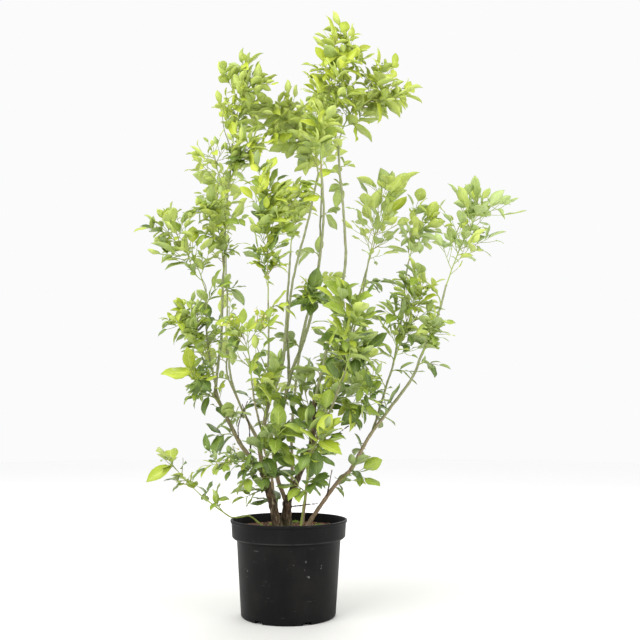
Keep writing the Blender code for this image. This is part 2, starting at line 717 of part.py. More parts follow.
def is_closed(mesh):
    """Whether every edge of a mesh has two faces."""
    bm = bmesh.new()
    bm.from_mesh(mesh)
    closed = bool(bm.faces) and all(edge.is_manifold for edge in bm.edges)
    bm.free()
    return closed


def make_mass(growth, obstacles, parts):
    """One mass of foliage, its stem, twigs and leaves fused into one body."""
    growth.others = [tree_of(part) for part in obstacles]
    growth.grow_twigs()
    growth.grow_leaves()
    part = growth.stem_part
    growth.group.objects.unlink(part)
    parts.objects.link(part)
    part.name = growth.mass.name
    spare = part.data.copy()
    apply_boolean(part, "UNION", group=growth.group)
    if not is_closed(part.data):
        part.data = spare
        apply_boolean(part, "UNION", group=growth.group, solver="MANIFOLD")
    remove(growth.group.objects)
    bpy.data.collections.remove(growth.group)
    finish(part, YOUNG_LEAF if growth.mass.tip[2] > YOUNG_LEAVES_ABOVE else GREEN_LEAF)


def main():
    """Build the pot, the compost, the limbs and the foliage."""
    clear_scene()
    parts = collection(OBJECT)
    cutters = collection("cutters", hidden=True)
    pot = make_pot(parts, cutters)
    compost = make_compost(parts)
    routes, limbs, swollen = make_limbs(parts, cutters)
    growths = [Growth(mass, routes, swollen) for mass in MASSES]
    solids = [pot, compost, *limbs.values(), *(growth.stem_part for growth in growths)]
    for growth in growths:
        obstacles = [solid for solid in solids if solid is not growth.stem_part]
        make_mass(growth, obstacles, parts)
    remove(cutters.objects)


main()
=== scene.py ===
"""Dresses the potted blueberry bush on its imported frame: bark, leaves, blossom, compost and pot."""
import math
import random
from collections import namedtuple

import bmesh
import bpy
import numpy as np
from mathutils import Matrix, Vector, noise
from mathutils.bvhtree import BVHTree


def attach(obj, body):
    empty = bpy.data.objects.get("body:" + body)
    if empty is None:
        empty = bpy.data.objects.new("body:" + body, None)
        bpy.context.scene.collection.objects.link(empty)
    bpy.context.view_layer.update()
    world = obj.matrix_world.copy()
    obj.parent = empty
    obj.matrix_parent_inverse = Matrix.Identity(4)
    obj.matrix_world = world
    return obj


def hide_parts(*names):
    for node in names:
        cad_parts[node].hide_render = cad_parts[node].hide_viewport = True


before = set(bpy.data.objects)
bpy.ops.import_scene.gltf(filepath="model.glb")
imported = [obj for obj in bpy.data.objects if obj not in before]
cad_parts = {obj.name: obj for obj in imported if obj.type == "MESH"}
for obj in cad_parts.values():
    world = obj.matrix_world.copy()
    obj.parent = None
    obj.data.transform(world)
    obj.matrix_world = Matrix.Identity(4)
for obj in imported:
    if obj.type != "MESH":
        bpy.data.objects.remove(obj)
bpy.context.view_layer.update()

# Metres throughout, +Z up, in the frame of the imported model. The limbs, the
# masses and the rule by which they grow are those of the solids.

# Pot
POT_HEIGHT = 0.2225
POT_STEPS = 128
RIM_RADIUS = 0.140
LIP_HEIGHT = 0.006
LIP_ROUND = 0.0015
COLLAR_RADIUS = 0.1375
COLLAR_FOOT_RADIUS = 0.1355
COLLAR_HEIGHT = 0.044
COLLAR_STEP = 0.0115
COLLAR_ROUND = 0.0045
COLLAR_FOOT = POT_HEIGHT - COLLAR_HEIGHT
WALL_TOP_RADIUS = COLLAR_FOOT_RADIUS - COLLAR_STEP
INSIDE_WIDENS = 0.0154
FOOT_RADIUS = 0.1107
FOOT_ROUND = 0.003
POT_WALL = 0.0026
FLOOR_THICKNESS = 0.008
DRAIN_NOTCHES = 6
NOTCH_WIDTH = 0.020
NOTCH_HEIGHT = 0.007
NOTCH_DEPTH = 0.018
NOTCH_FIRST_TURN = math.radians(-127.0)
EDGE_ANGLE = math.radians(25.0)
EDGE_ROUND = 0.0011
EDGE_STEPS = 3

# Compost
COMPOST_TOP = 0.201
COMPOST_GAP = 0.0004
COMPOST_RING = 0.0025
COMPOST_LUMPS = 0.0036
LUMP_SIZES = ((38.0, 0.6), (110.0, 0.4))
COMPOST_TURNS = 150
SOIL = COMPOST_TOP + 0.0003
BURIED = 0.012
CHIPS = 1500
CHIP_FORMS = 8
CHIP_MARGIN = 0.006
CHIP_LENGTHS = (0.0030, 0.0110)
CHIP_WIDTHS = (0.25, 0.6)
CHIP_HEIGHTS = (0.12, 0.3)
CHIP_TILT = 0.25
CHIP_LEAN = 0.4
CHIP_SINK = 0.3
CHIP_CORNERS = (0.65, 1.15)
CHIP_BROWNS = (("bark_chips", (84, 58, 42), (120, 88, 62)),
               ("red_chips", (130, 74, 48), (168, 108, 74)),
               ("pale_chips", (158, 126, 92), (190, 164, 126)))
MOSS_BLADE = 0.0065
MOSS_SPREAD = 0.011
MOSS_BLADES = 150
MOSS_LENGTHS = (0.6, 1.2)
MOSS_SPREADS = (0.6, 1.3)
MOSS_LEAN = 0.8
MOSS_SINK = 0.0005
MOSS_TUFTS = ((-0.072, -0.055), (-0.005, -0.048), (0.020, -0.075), (-0.040, 0.060), (0.070, 0.040),
              (0.055, -0.045), (-0.095, 0.010), (0.015, 0.100))

# Canes
CANE_STEP = 0.075
CANE_WANDER = 0.0022
FLARE_HEIGHT = 0.030
FLARE = 1.22
TIP_SINK = 0.004
OLD_LIMB_RADIUS = 0.0070
YOUNG_SHOOT_RADIUS = 0.0030
FINE_STEP = 0.004
SCAR_SPACING = 0.027
SCAR_SWELL = 0.13
SCAR_WIDTH = 0.0042
COLLAR_SWELL = 0.28
COLLAR_FADE = 0.010
WOBBLE = 0.0011
WOBBLE_SCALE = 34.0
WOBBLE_SHIFTS = (0.0, 17.3, 41.9)
RIDGE_DEPTH = 0.00135
CANE_RIDGES = RIDGE_DEPTH / 4
SHOOT_RIDGES = RIDGE_DEPTH / 6
RIDGE_TURNS = 300.0
RIDGE_LENGTHS = 38.0

# Leaves and twigs
SHOOT_STEP = 0.008
TWIG_RADIUS = 0.0011
TWIG_TIP_RADIUS = 0.0006
STEM_RADIUS = 0.0020
STEM_OF_HOST = 0.85
STEM_BEND = 0.35
FIRST_TWIG = 0.10
LAST_TWIG = 0.94
TWIG_SPACING = 0.015
SHORTEST_TWIG = 0.028
TWIG_LENGTHS = (0.70, 1.22)
TWIG_SPREAD = math.radians(52.0)
TWIG_SPREADS = (0.75, 1.15)
TWIG_ROOT = 0.008
FINER_FROM = 0.036
FINER_PLACES = (0.30, 0.52, 0.74)
FINER_SHARE = 0.52
FINER_RADIUS = TWIG_TIP_RADIUS * 1.3
SHORTEST_BRANCHED = 0.080
SOLID_LEAF = 0.066
LEAF_LENGTHS = (0.017, 0.078, 0.028)
TIP_LEAF_SHARE = 0.82
SIDE_SHOOT_LENGTHS = (0.030, 0.065)
SIDE_SHOOT_RISES = (0.2, 0.9)
SIDE_SHOOT_REACH = 0.075
SIDE_SHOOT_LEAVES = 1
FIRST_SHOOT_SEED = 100
LEAF_SPACING = 0.0080
FIRST_LEAF = 0.16
LEAVES_FOR_EACH = 5.6
LEAF_SPREAD = math.radians(50.0)
LEAF_SPREADS = (0.65, 1.3)
LEAF_WIDTH = 0.50
LEAF_WIDTHS = (0.86, 1.16)
LEAF_FACES_OUT = (0.0, 0.95)
LEAF_FACES_ANYWHERE = 0.45
LEAF_DROOPS = (-0.20, 0.35)
LEAF_THICKNESS = 0.00035
LEAF_OUTLINE = (0.93, 0.86)
STALK_HALF = 0.011
LEAF_COLUMNS = 2
LEAF_ROWS = 7
LEAF_APART = 0.0075
PETIOLE = 0.07
TWIG_LIFT = 0.15
GOLDEN_TURN = math.radians(137.5)
RETRY_TURN = 0.37
CLEAR = 0.0012
TRIES = 10
SPACE_SLACK = 1.02
WIDEST_AT = 0.53
SPINDLE_HALF = 0.59
NARROWEST = 0.35

# A limb springs from the compost or from a point along its host, bends at its
# knees and ends at its tip, with its radius at either end.
Limb = namedtuple("Limb", "name host start knees tip radii")
LIMBS = (
    Limb("left_trunk", None, (-0.021, -0.012), ((-0.042, -0.015, 0.267),),
         (-0.065, -0.02, 0.348), (0.0108, 0.0084)),
    Limb("centre_trunk", None, (-0.001, 0.02), ((-0.006, 0.02, 0.23),),
         (-0.006, 0.02, 0.262), (0.0112, 0.0102)),
    Limb("right_arch_foot", None, (0.034, -0.008), ((0.09, -0.02, 0.278),),
         (0.15, -0.03, 0.342), (0.0049, 0.0045)),
    Limb("right_arch", "right_arch_foot", 1.0,
         ((0.199, -0.03, 0.427), (0.298, -0.01, 0.558), (0.351, 0.0, 0.675)),
         (0.395, 0.015, 0.797), (0.0044, 0.0024)),
    Limb("curved_cane", "left_trunk", 1.0,
         ((-0.068, -0.02, 0.396), (-0.05, -0.01, 0.494), (-0.019, 0.04, 0.605), (-0.006, 0.09, 0.768)),
         (0.0, 0.12, 0.905), (0.0054, 0.0023)),
    Limb("left_arm", "left_trunk", 0.91, ((-0.12, -0.03, 0.406),),
         (-0.179, -0.05, 0.524), (0.0055, 0.004)),
    Limb("left_tall_cane", "left_arm", 1.0, ((-0.168, 0.01, 0.703), (-0.167, 0.04, 0.938)),
         (-0.153, 0.05, 1.172), (0.0033, 0.002)),
    Limb("left_outer_cane", "left_arm", 0.9, ((-0.195, -0.065, 0.645),),
         (-0.204, -0.05, 0.772), (0.0025, 0.0018)),
    Limb("left_inner_cane", "curved_cane", 0.08, ((-0.11, 0.05, 0.47), (-0.161, 0.1, 0.58)),
         (-0.165, 0.12, 0.665), (0.0028, 0.0019)),
    Limb("front_left_cane", "curved_cane", 0.14, ((-0.072, -0.11, 0.469),),
         (-0.082, -0.19, 0.545), (0.0028, 0.0019)),
    Limb("straight_cane", "curved_cane", 0.23, ((-0.05, -0.075, 0.625),),
         (-0.05, -0.11, 0.73), (0.0026, 0.0019)),
    Limb("tall_cane", "centre_trunk", 0.96,
         ((-0.038, 0.045, 0.372), (0.006, 0.05, 0.578), (0.06, 0.01, 0.74), (0.081, -0.03, 0.965)),
         (0.076, -0.04, 1.072), (0.0054, 0.0025)),
    Limb("centre_right_limb", "centre_trunk", 0.94, ((0.028, 0.0, 0.335), (0.058, -0.01, 0.414)),
         (0.061, 0.0, 0.506), (0.008, 0.0048)),
    Limb("bowed_cane", "tall_cane", 0.36, ((-0.003, 0.08, 0.753), (0.044, 0.095, 0.975)),
         (0.074, 0.1, 1.115), (0.0034, 0.0026)),
    Limb("right_tall_cane", "centre_right_limb", 1.0, ((0.097, 0.01, 0.648), (0.14, 0.03, 0.86)),
         (0.123, 0.04, 1.183), (0.0042, 0.0027)),
    Limb("inner_right_cane", "centre_right_limb", 0.62, ((0.102, 0.07, 0.522), (0.172, 0.11, 0.718)),
         (0.208, 0.12, 0.884), (0.0028, 0.0018)),
    Limb("front_right_cane", "centre_right_limb", 0.5, ((0.087, -0.1, 0.459),),
         (0.127, -0.19, 0.565), (0.0033, 0.0022)),
    Limb("outer_right_cane", "right_arch", 0.2, ((0.26, 0.06, 0.597), (0.297, 0.11, 0.76)),
         (0.315, 0.13, 0.877), (0.0029, 0.0019)),
    Limb("left_sucker", None, (-0.05, 0.032), ((-0.095, 0.02, 0.226), (-0.141, 0.0, 0.2285)),
         (-0.214, -0.01, 0.282), (0.002, 0.0015)),
    Limb("green_shoot", None, (0.026, -0.032), ((0.036, -0.055, 0.27),),
         (0.045, -0.09, 0.346), (0.0026, 0.0021)),
    Limb("rear_left_cane", None, (-0.03, 0.055), ((-0.062, 0.13, 0.37), (-0.16, 0.21, 0.567)),
         (-0.187, 0.29, 0.945), (0.0038, 0.0022)),
    Limb("rear_right_cane", None, (0.03, 0.055), ((0.062, 0.13, 0.385), (0.127, 0.21, 0.567)),
         (0.217, 0.3, 0.887), (0.0038, 0.0022)),
    Limb("rear_centre_cane", None, (0.0, 0.072), ((0.018, 0.19, 0.6), (0.075, 0.25, 0.88)),
         (0.087, 0.28, 1.15), (0.004, 0.0024)),
)

# A mass of foliage, named without that word, grows on one stem from a point along
# its limb to its tip, inside a spindle as wide as its reach. Then follow how many
# leaves it has in the solid, its share of the usual leaves and how large they are.
Mass = namedtuple("Mass", "name host along tip reach leaves seed fullness leaf_size")
MASSES = (
    Mass("top", "tall_cane", 1.0, (0.14, -0.035, 1.448), 0.09, 32, 11, 1.35, 1.08),
    Mass("top_right", "right_tall_cane", 1.0, (0.262, 0.02, 1.318), 0.105, 30, 12, 1.0, 1.0),
    Mass("upper_centre", "bowed_cane", 1.0, (-0.045, 0.1, 1.285), 0.098, 28, 13, 1.3, 1.02),
    Mass("upper_left", "left_tall_cane", 1.0, (-0.115, 0.04, 1.35), 0.095, 26, 14, 1.0, 1.0),
    Mass("left_shoulder", "left_tall_cane", 0.7, (-0.2, 0.0, 1.135), 0.088, 18, 15, 0.55, 0.85),
    Mass("left_column", "left_tall_cane", 0.48, (-0.19, -0.06, 0.98), 0.075, 18, 16, 1.3, 0.88),
    Mass("upper_middle", "left_tall_cane", 0.82, (-0.103, -0.01, 1.157), 0.074, 14, 44, 1.6, 1.02),
    Mass("left_far", "left_outer_cane", 1.0, (-0.31, -0.07, 0.92), 0.085, 22, 17, 0.75, 1.0),
    Mass("straight_cane", "straight_cane", 1.0, (-0.052, -0.15, 1.05), 0.074, 22, 18, 1.3, 1.0),
    Mass("curved_cane", "curved_cane", 1.0, (0.015, 0.14, 1.085), 0.07, 20, 19, 0.95, 0.85),
    Mass("right_upper", "inner_right_cane", 1.0, (0.265, 0.1, 1.08), 0.085, 20, 20, 0.42, 1.3),
    Mass("right_inner", "outer_right_cane", 1.0, (0.36, 0.14, 1.0), 0.082, 18, 21, 0.65, 1.05),
    Mass("right_far", "right_arch", 1.0, (0.49, 0.0, 1.015), 0.092, 26, 22, 0.6, 1.15),
    Mass("right_middle", "outer_right_cane", 0.4, (0.333, 0.045, 0.814), 0.086, 20, 23, 1.1, 1.0),
    Mass("right_arch", "right_arch", 0.63, (0.36, -0.065, 0.68), 0.06, 10, 24, 0.6, 1.0),
    Mass("front_right", "front_right_cane", 1.0, (0.13, -0.27, 0.71), 0.085, 18, 25, 0.75, 1.2),
    Mass("centre_right", "inner_right_cane", 0.3, (0.18, 0.015, 0.64), 0.08, 18, 26, 0.9, 1.08),
    Mass("low_right", "centre_right_limb", 0.8, (0.197, -0.11, 0.52), 0.088, 16, 27, 0.95, 1.14),
    Mass("left_middle", "left_outer_cane", 0.25, (-0.25, -0.1, 0.715), 0.08, 18, 28, 1.0, 0.92),
    Mass("left_low", "left_arm", 0.72, (-0.225, -0.13, 0.57), 0.075, 16, 29, 0.65, 0.85),
    Mass("centre_left", "left_inner_cane", 1.0, (-0.16, 0.14, 0.765), 0.06, 10, 30, 0.2, 0.9),
    Mass("front_left", "front_left_cane", 1.0, (-0.09, -0.26, 0.65), 0.075, 16, 31, 0.5, 0.9),
    Mass("low_centre_left", "curved_cane", 0.19, (-0.06, -0.13, 0.555), 0.07, 14, 32, 0.9, 0.85),
    Mass("heart", "centre_right_limb", 0.52, (0.026, 0.095, 0.575), 0.073, 12, 33, 0.9, 1.0),
    Mass("low_centre", "green_shoot", 1.0, (0.065, -0.17, 0.42), 0.075, 13, 34, 0.6, 1.1),
    Mass("low_front", "left_trunk", 0.7, (-0.02, -0.13, 0.435), 0.066, 12, 45, 0.9, 0.95),
    Mass("foot_left", "left_trunk", 0.55, (-0.105, -0.1, 0.35), 0.06, 9, 35, 0.65, 0.85),
    Mass("low_left", "left_trunk", 0.84, (-0.19, -0.12, 0.355), 0.055, 10, 36, 0.55, 0.8),
    Mass("sucker", "left_sucker", 1.0, (-0.285, -0.02, 0.36), 0.06, 9, 37, 0.45, 0.85),
    Mass("low_right_foot", "right_arch_foot", 0.76, (0.166, -0.088, 0.338), 0.06, 9, 38, 0.2, 1.1),
    Mass("flower_cluster", "tall_cane", 0.57, (0.055, -0.07, 0.76), 0.06, 9, 39, 1.5, 1.0),
    Mass("rear_top", "rear_centre_cane", 1.0, (0.07, 0.3, 1.36), 0.09, 16, 40, 1.0, 1.0),
    Mass("rear_left", "rear_left_cane", 1.0, (-0.215, 0.32, 1.15), 0.085, 12, 41, 1.0, 1.0),
    Mass("rear_right", "rear_right_cane", 1.0, (0.27, 0.32, 1.06), 0.085, 12, 42, 0.45, 1.0),
    Mass("rear_low", "rear_right_cane", 0.5, (0.175, 0.285, 0.665), 0.08, 12, 43, 0.8, 1.0),
)

# Where short leafy side shoots stand on the limbs between the masses: the first
# and last share of the limb, and how many.
Leafy = namedtuple("Leafy", "limb first last shoots")
LEAFY_LIMBS = (
    Leafy("left_trunk", 0.35, 0.95, 4), Leafy("left_arm", 0.1, 0.95, 4),
    Leafy("left_tall_cane", 0.06, 0.4, 3), Leafy("left_outer_cane", 0.3, 0.95, 2),
    Leafy("left_inner_cane", 0.2, 0.9, 1), Leafy("front_left_cane", 0.4, 0.9, 1),
    Leafy("curved_cane", 0.06, 0.4, 3), Leafy("tall_cane", 0.14, 0.44, 2),
    Leafy("tall_cane", 0.84, 1.0, 2), Leafy("centre_right_limb", 0.3, 0.95, 3),
    Leafy("right_tall_cane", 0.03, 0.2, 2), Leafy("right_tall_cane", 0.78, 0.98, 4),
    Leafy("inner_right_cane", 0.3, 0.95, 3), Leafy("front_right_cane", 0.4, 0.9, 2),
    Leafy("right_arch_foot", 0.5, 0.95, 1), Leafy("right_arch", 0.05, 0.6, 3),
    Leafy("right_arch", 0.66, 0.96, 2), Leafy("outer_right_cane", 0.05, 0.6, 5),
    Leafy("green_shoot", 0.55, 0.98, 4), Leafy("left_sucker", 0.45, 0.9, 2),
    Leafy("straight_cane", 0.7, 1.0, 2),
    Leafy("rear_left_cane", 0.35, 0.95, 5), Leafy("rear_right_cane", 0.35, 0.95, 5),
    Leafy("rear_centre_cane", 0.35, 0.95, 5),
)

# Bare spurs and old twigs: the limb, where along it, a knee, the tip, the radius
# at the foot and the kind of bark.
Spur = namedtuple("Spur", "limb along knee tip radius bark")
SPURS = (
    Spur("tall_cane", 0.44, (0.035, 0.0, 0.694), (0.049, -0.05, 0.737), 0.0017, "canes_bark"),
    Spur("curved_cane", 0.3, (-0.08, -0.04, 0.57), (-0.109, -0.09, 0.616), 0.0016, "canes_bark"),
    Spur("straight_cane", 0.38, (-0.071, -0.1, 0.615), (-0.084, -0.13, 0.652), 0.0014, "canes_bark"),
    Spur("left_arm", 0.2, (-0.095, -0.06, 0.444), (-0.11, -0.08, 0.495), 0.0018, "trunks_bark"),
    Spur("left_arm", 0.44, (-0.117, -0.08, 0.45), (-0.095, -0.12, 0.5), 0.0015, "trunks_bark"),
    Spur("centre_right_limb", 0.55, (0.097, -0.05, 0.413), (0.14, -0.08, 0.444), 0.0023, "trunks_bark"),
    Spur("right_arch_foot", 0.53, (0.095, -0.05, 0.308), (0.101, -0.07, 0.342), 0.0018, "trunks_bark"),
    Spur("centre_trunk", 0.79, (0.036, -0.02, 0.257), (0.069, -0.04, 0.262), 0.0022, "trunks_bark"),
    Spur("centre_trunk", 0.94, (0.019, -0.02, 0.292), (0.024, -0.03, 0.33), 0.002, "trunks_bark"),
    Spur("left_outer_cane", 0.9, (-0.201, -0.07, 0.772), (-0.209, -0.08, 0.792), 0.0013, "canes_bark"),
    Spur("left_tall_cane", 0.97, (-0.176, 0.03, 1.219), (-0.173, 0.02, 1.264), 0.0016, "canes_bark"),
)
SPUR_TIP_RADIUS = 0.0007

# How many large leaves a mass holds out at its tip, and the number of their tint.
# They face forward or backward, away from the middle, and somewhat up.
LEADING_LEAVES = {"sucker": (3, 1), "left_low": (2, 1),
                  "left_middle": (1, 1), "flower_cluster": (4, 3),
                  "right_upper": (4, 2), "low_centre": (3, 1),
                  "low_front": (3, 2), "front_right": (2, 2),
                  "rear_right": (2, 2), "rear_left": (2, 2)}
LEADING_LENGTHS = (0.062, 0.080)
LEADING_STEP = 0.07
LEADING_FACES = (0.8, 0.7)

# Where spent blossom and young berries stand: the mass and how many clusters
CLUSTERS = {"flower_cluster": 4, "sucker": 1, "front_left": 4,
            "low_left": 2, "foot_left": 1, "rear_low": 2,
            "top_right": 1, "right_far": 1}
FLOWER_SIZE = 0.0058
BERRY_SIZE = 0.0052
CLUSTER_SIZE = (5, 9)
CLUSTER_LENGTH = 0.025
FLOWER_STALK = 0.0085
FLOWER_STALK_RADIUS = 0.00035
CLUSTER_AT = 0.9
CLUSTER_RISES = (0.3, 1.1)
FLOWER_HANGS = (-0.9, -0.2)
BLOSSOM_SHARE = 0.55
SMALL_STEPS = 7
FLOWER_PROFILE = ((0.0, 0.0), (0.22, 0.03), (0.36, 0.25), (0.38, 0.55), (0.26, 0.85), (0.34, 1.0),
                  (0.0, 0.88))
BERRY_PROFILE = ((0.0, 0.0), (0.28, 0.06), (0.50, 0.42), (0.40, 0.80), (0.22, 0.90), (0.27, 1.0),
                 (0.0, 0.86))

# The plant's own axis, from which leaves face outward, and the way up
CROWN_AXIS = Vector((0.03, 0.03, 0.0))
UP = Vector((0.0, 0.0, 1.0))


# The socket for how much a surface shines
SHINE = "Specular IOR Level"


class Field:
    """A shader value that can be written into Python sums."""

    def __init__(self, finish, socket):
        self.finish = finish
        self.socket = socket

    def math(self, operation, first, second=0.0):
        """One Math node."""
        return self.finish.node("ShaderNodeMath", {"operation": operation}, {0: first, 1: second})

    def __add__(self, other):
        return self.math("ADD", self, other)

    def __sub__(self, other):
        return self.math("SUBTRACT", self, other)

    def __rsub__(self, other):
        return self.math("SUBTRACT", other, self)

    def __mul__(self, other):
        return self.math("MULTIPLY", self, other)

    def __abs__(self):
        return self.math("ABSOLUTE", self)

    __radd__ = __add__


class Finish:
    """A procedural finish for one kind of surface."""

    def __init__(self, name, constants):
        self.material = bpy.data.materials.new(name)
        self.material.use_nodes = True
        self.tree = self.material.node_tree
        self.shader = self.tree.nodes["Principled BSDF"]
        for socket, value in constants.items():
            self.shader.inputs[socket].default_value = value

    def node(self, kind, settings, sockets, output=0):
        """Any node: its settings first, then the values or links of its sockets."""
        made = self.tree.nodes.new(kind)
        for setting, value in settings.items():
            setattr(made, setting, value)
        for socket, value in sockets.items():
            if isinstance(value, Field):
                self.tree.links.new(value.socket, made.inputs[socket])
            else:
                made.inputs[socket].default_value = value
        return Field(self, made.outputs[output])

    def feed(self, socket, field):
        """Link a field to a socket of the shader."""
        self.tree.links.new(field.socket, self.shader.inputs[socket])

    def place(self, y=1.0, z=1.0):
        """Object coordinates, scaled along Y or Z."""
        coords = self.node("ShaderNodeTexCoord", {}, {}, "Object")
        return self.node("ShaderNodeMapping", {}, {"Vector": coords, "Scale": (1.0, y, z)})

    def noise(self, place, scale, detail=3.0, roughness=0.55):
        """Soft noise from 0 to 1."""
        return self.node("ShaderNodeTexNoise", {}, {"Vector": place, "Scale": scale, "Detail": detail,
                                                    "Roughness": roughness})

    def step(self, value, low, high):
        """A smooth step from 0 at one value to 1 at another."""
        return self.node("ShaderNodeMapRange", {"interpolation_type": "SMOOTHSTEP"},
                         {"Value": value, "From Min": low, "From Max": high})

    def mix(self, factor, first, second):
        """A colour between two others."""
        return self.node("ShaderNodeMix", {"data_type": "RGBA"}, {0: factor, 6: first, 7: second}, 2)

    def layer(self, under, field, low, high, share, over):
        """A colour with some of another laid over it where a field is high."""
        return self.mix(self.step(field, low, high) * share, under, tone(*over))

    def finished(self, colour, roughness, height, distance, strength=1.0):
        """The material, with its colour, its roughness and its relief linked."""
        sockets = {"Height": height, "Distance": distance, "Strength": strength}
        self.feed("Base Color", colour)
        self.feed("Roughness", roughness)
        self.feed("Normal", self.node("ShaderNodeBump", {}, sockets))
        return self.material


def tone(red, green, blue):
    """A colour from its screen values, 0 to 255."""
    parts = [value / 255 for value in (red, green, blue)]
    linear = [part / 12.92 if part <= 0.04045 else ((part + 0.055) / 1.055) ** 2.4 for part in parts]
    return (*linear, 1.0)


def blended(first, second, share):
    """A colour part of the way from one to another."""
    return tuple(one + (other - one) * share for one, other in zip(first, second))


def old_bark():
    """Grey-brown bark, split lengthwise and peeling in strips."""
    finish = Finish("old_bark", {SHINE: 0.25})
    lengthwise = finish.place(z=0.13)
    strips = finish.noise(lengthwise, 330.0, 5.0, 0.62)
    fine = finish.noise(lengthwise, 900.0)
    patches = finish.noise(finish.place(), 34.0)
    moss = finish.noise(finish.place(), 17.0, 2.0)
    colour = finish.mix(finish.step(strips, 0.38, 0.60), tone(44, 34, 26), tone(100, 84, 64))
    colour = finish.mix(finish.step(strips, 0.57, 0.68), colour, tone(160, 146, 122))
    colour = finish.layer(colour, patches, 0.52, 0.74, 0.5, (104, 70, 50))
    colour = finish.layer(colour, moss, 0.48, 0.72, 0.5, (92, 94, 58))
    return finish.finished(colour, 0.95 - strips * 0.25, strips + fine * 0.3, 0.0011)


def cane_bark():
    """Smooth olive bark, browner below, with darker specks and leaf scars."""
    finish = Finish("cane_bark", {SHINE: 0.35})
    place = finish.place()
    height = finish.node("ShaderNodeSeparateXYZ", {}, {"Vector": place}, "Z")
    streaks = finish.noise(finish.place(z=0.22), 420.0, 4.0)
    patches = finish.noise(place, 28.0)
    specks = finish.noise(finish.place(z=0.5), 780.0, 2.0)
    green = finish.step(height + patches * 0.3 - 0.15, 0.26, 0.62)
    colour = finish.mix(green, tone(146, 122, 98), tone(142, 148, 106))
    colour = finish.layer(colour, streaks, 0.42, 0.66, 0.55, (92, 88, 62))
    colour = finish.layer(colour, specks, 0.60, 0.68, 0.6, (180, 178, 146))
    colour = finish.layer(colour, patches, 0.60, 0.80, 0.4, (118, 92, 66))
    return finish.finished(colour, 0.55 + streaks * 0.25, streaks + specks * 0.4, 0.0004)


def young_wood():
    """The green skin of this year's twigs, flushed red in places."""
    finish = Finish("young_wood", {SHINE: 0.4})
    patches = finish.noise(finish.place(), 22.0)
    streaks = finish.noise(finish.place(z=0.3), 600.0, 2.0)
    colour = finish.layer(tone(150, 168, 82), patches, 0.46, 0.70, 0.8, (140, 116, 74))
    colour = finish.layer(colour, streaks, 0.50, 0.70, 0.35, (104, 116, 52))
    return finish.finished(colour, 0.5 + streaks * 0.2, streaks, 0.0002)


def leaf_skin(name, colour, shade, vein):
    """A leaf's skin: its midrib and side veins paler than the blade between them."""
    finish = Finish(name, {SHINE: 0.45})
    leaf = finish.node("ShaderNodeUVMap", {"uv_map": "leaf"}, {})
    split = finish.node("ShaderNodeSeparateXYZ", {}, {"Vector": leaf})
    along = Field(finish, split.socket.node.outputs["Y"])
    across = abs(split - 0.5) * 2.0
    midrib = 1.0 - finish.step(across, 0.015, 0.075)
    slope = (along * 6.5 - across * 1.9) * math.tau
    side_veins = finish.step(slope.math("SINE", slope), 0.86, 1.0) * (1.0 - across * 0.7)
    patches = finish.noise(finish.place(), 26.0, 2.0)
    mottle = finish.noise(finish.place(), 240.0)
    blade = finish.mix(finish.step(patches, 0.34, 0.70), shade, colour)
    blade = finish.mix(finish.step(mottle, 0.50, 0.85) * 0.35, blade, shade)
    blade = finish.mix(side_veins * 0.35, blade, vein)
    relief = mottle * 0.25 - midrib - side_veins * 0.5
    return finish.finished(finish.mix(midrib * 0.6, blade, vein), 0.38 + mottle * 0.18, relief, 0.0005, 0.7)


# Small things in two colours: how they shine, the size of their patches, where the
# second colour begins and ends, blots over both, the roughness and the relief.
Patchy = namedtuple("Patchy", "shine size change first second blots rough more relief")
PATCHY = {
    # Faded cream petals, brown at the edges
    "petal": Patchy(0.3, 330.0, (0.40, 0.62), (236, 230, 196), (206, 190, 132),
                    (0.60, 0.74, 0.7, (164, 116, 72)), 0.6, 0.2, 0.0003),
    # Unripe green berries under a pale waxy bloom
    "berry_skin": Patchy(0.4, 260.0, (0.38, 0.66), (132, 158, 84), (184, 200, 150),
                         (0.64, 0.76, 0.5, (150, 96, 92)), 0.42, 0.3, 0.0002),
    # Short bright moss
    "moss_green": Patchy(0.2, 210.0, (0.36, 0.66), (88, 118, 42), (150, 176, 74), None, 0.9, -0.1, 0.0004),
}


def patchy(name):
    """The finish of one of the small things in two colours."""
    look = PATCHY[name]
    finish = Finish(name, {SHINE: look.shine})
    patches = finish.noise(finish.place(), look.size)
    colour = finish.mix(finish.step(patches, *look.change), tone(*look.first), tone(*look.second))
    if look.blots:
        colour = finish.layer(colour, patches, *look.blots)
    return finish.finished(colour, look.rough + patches * look.more, patches, look.relief)


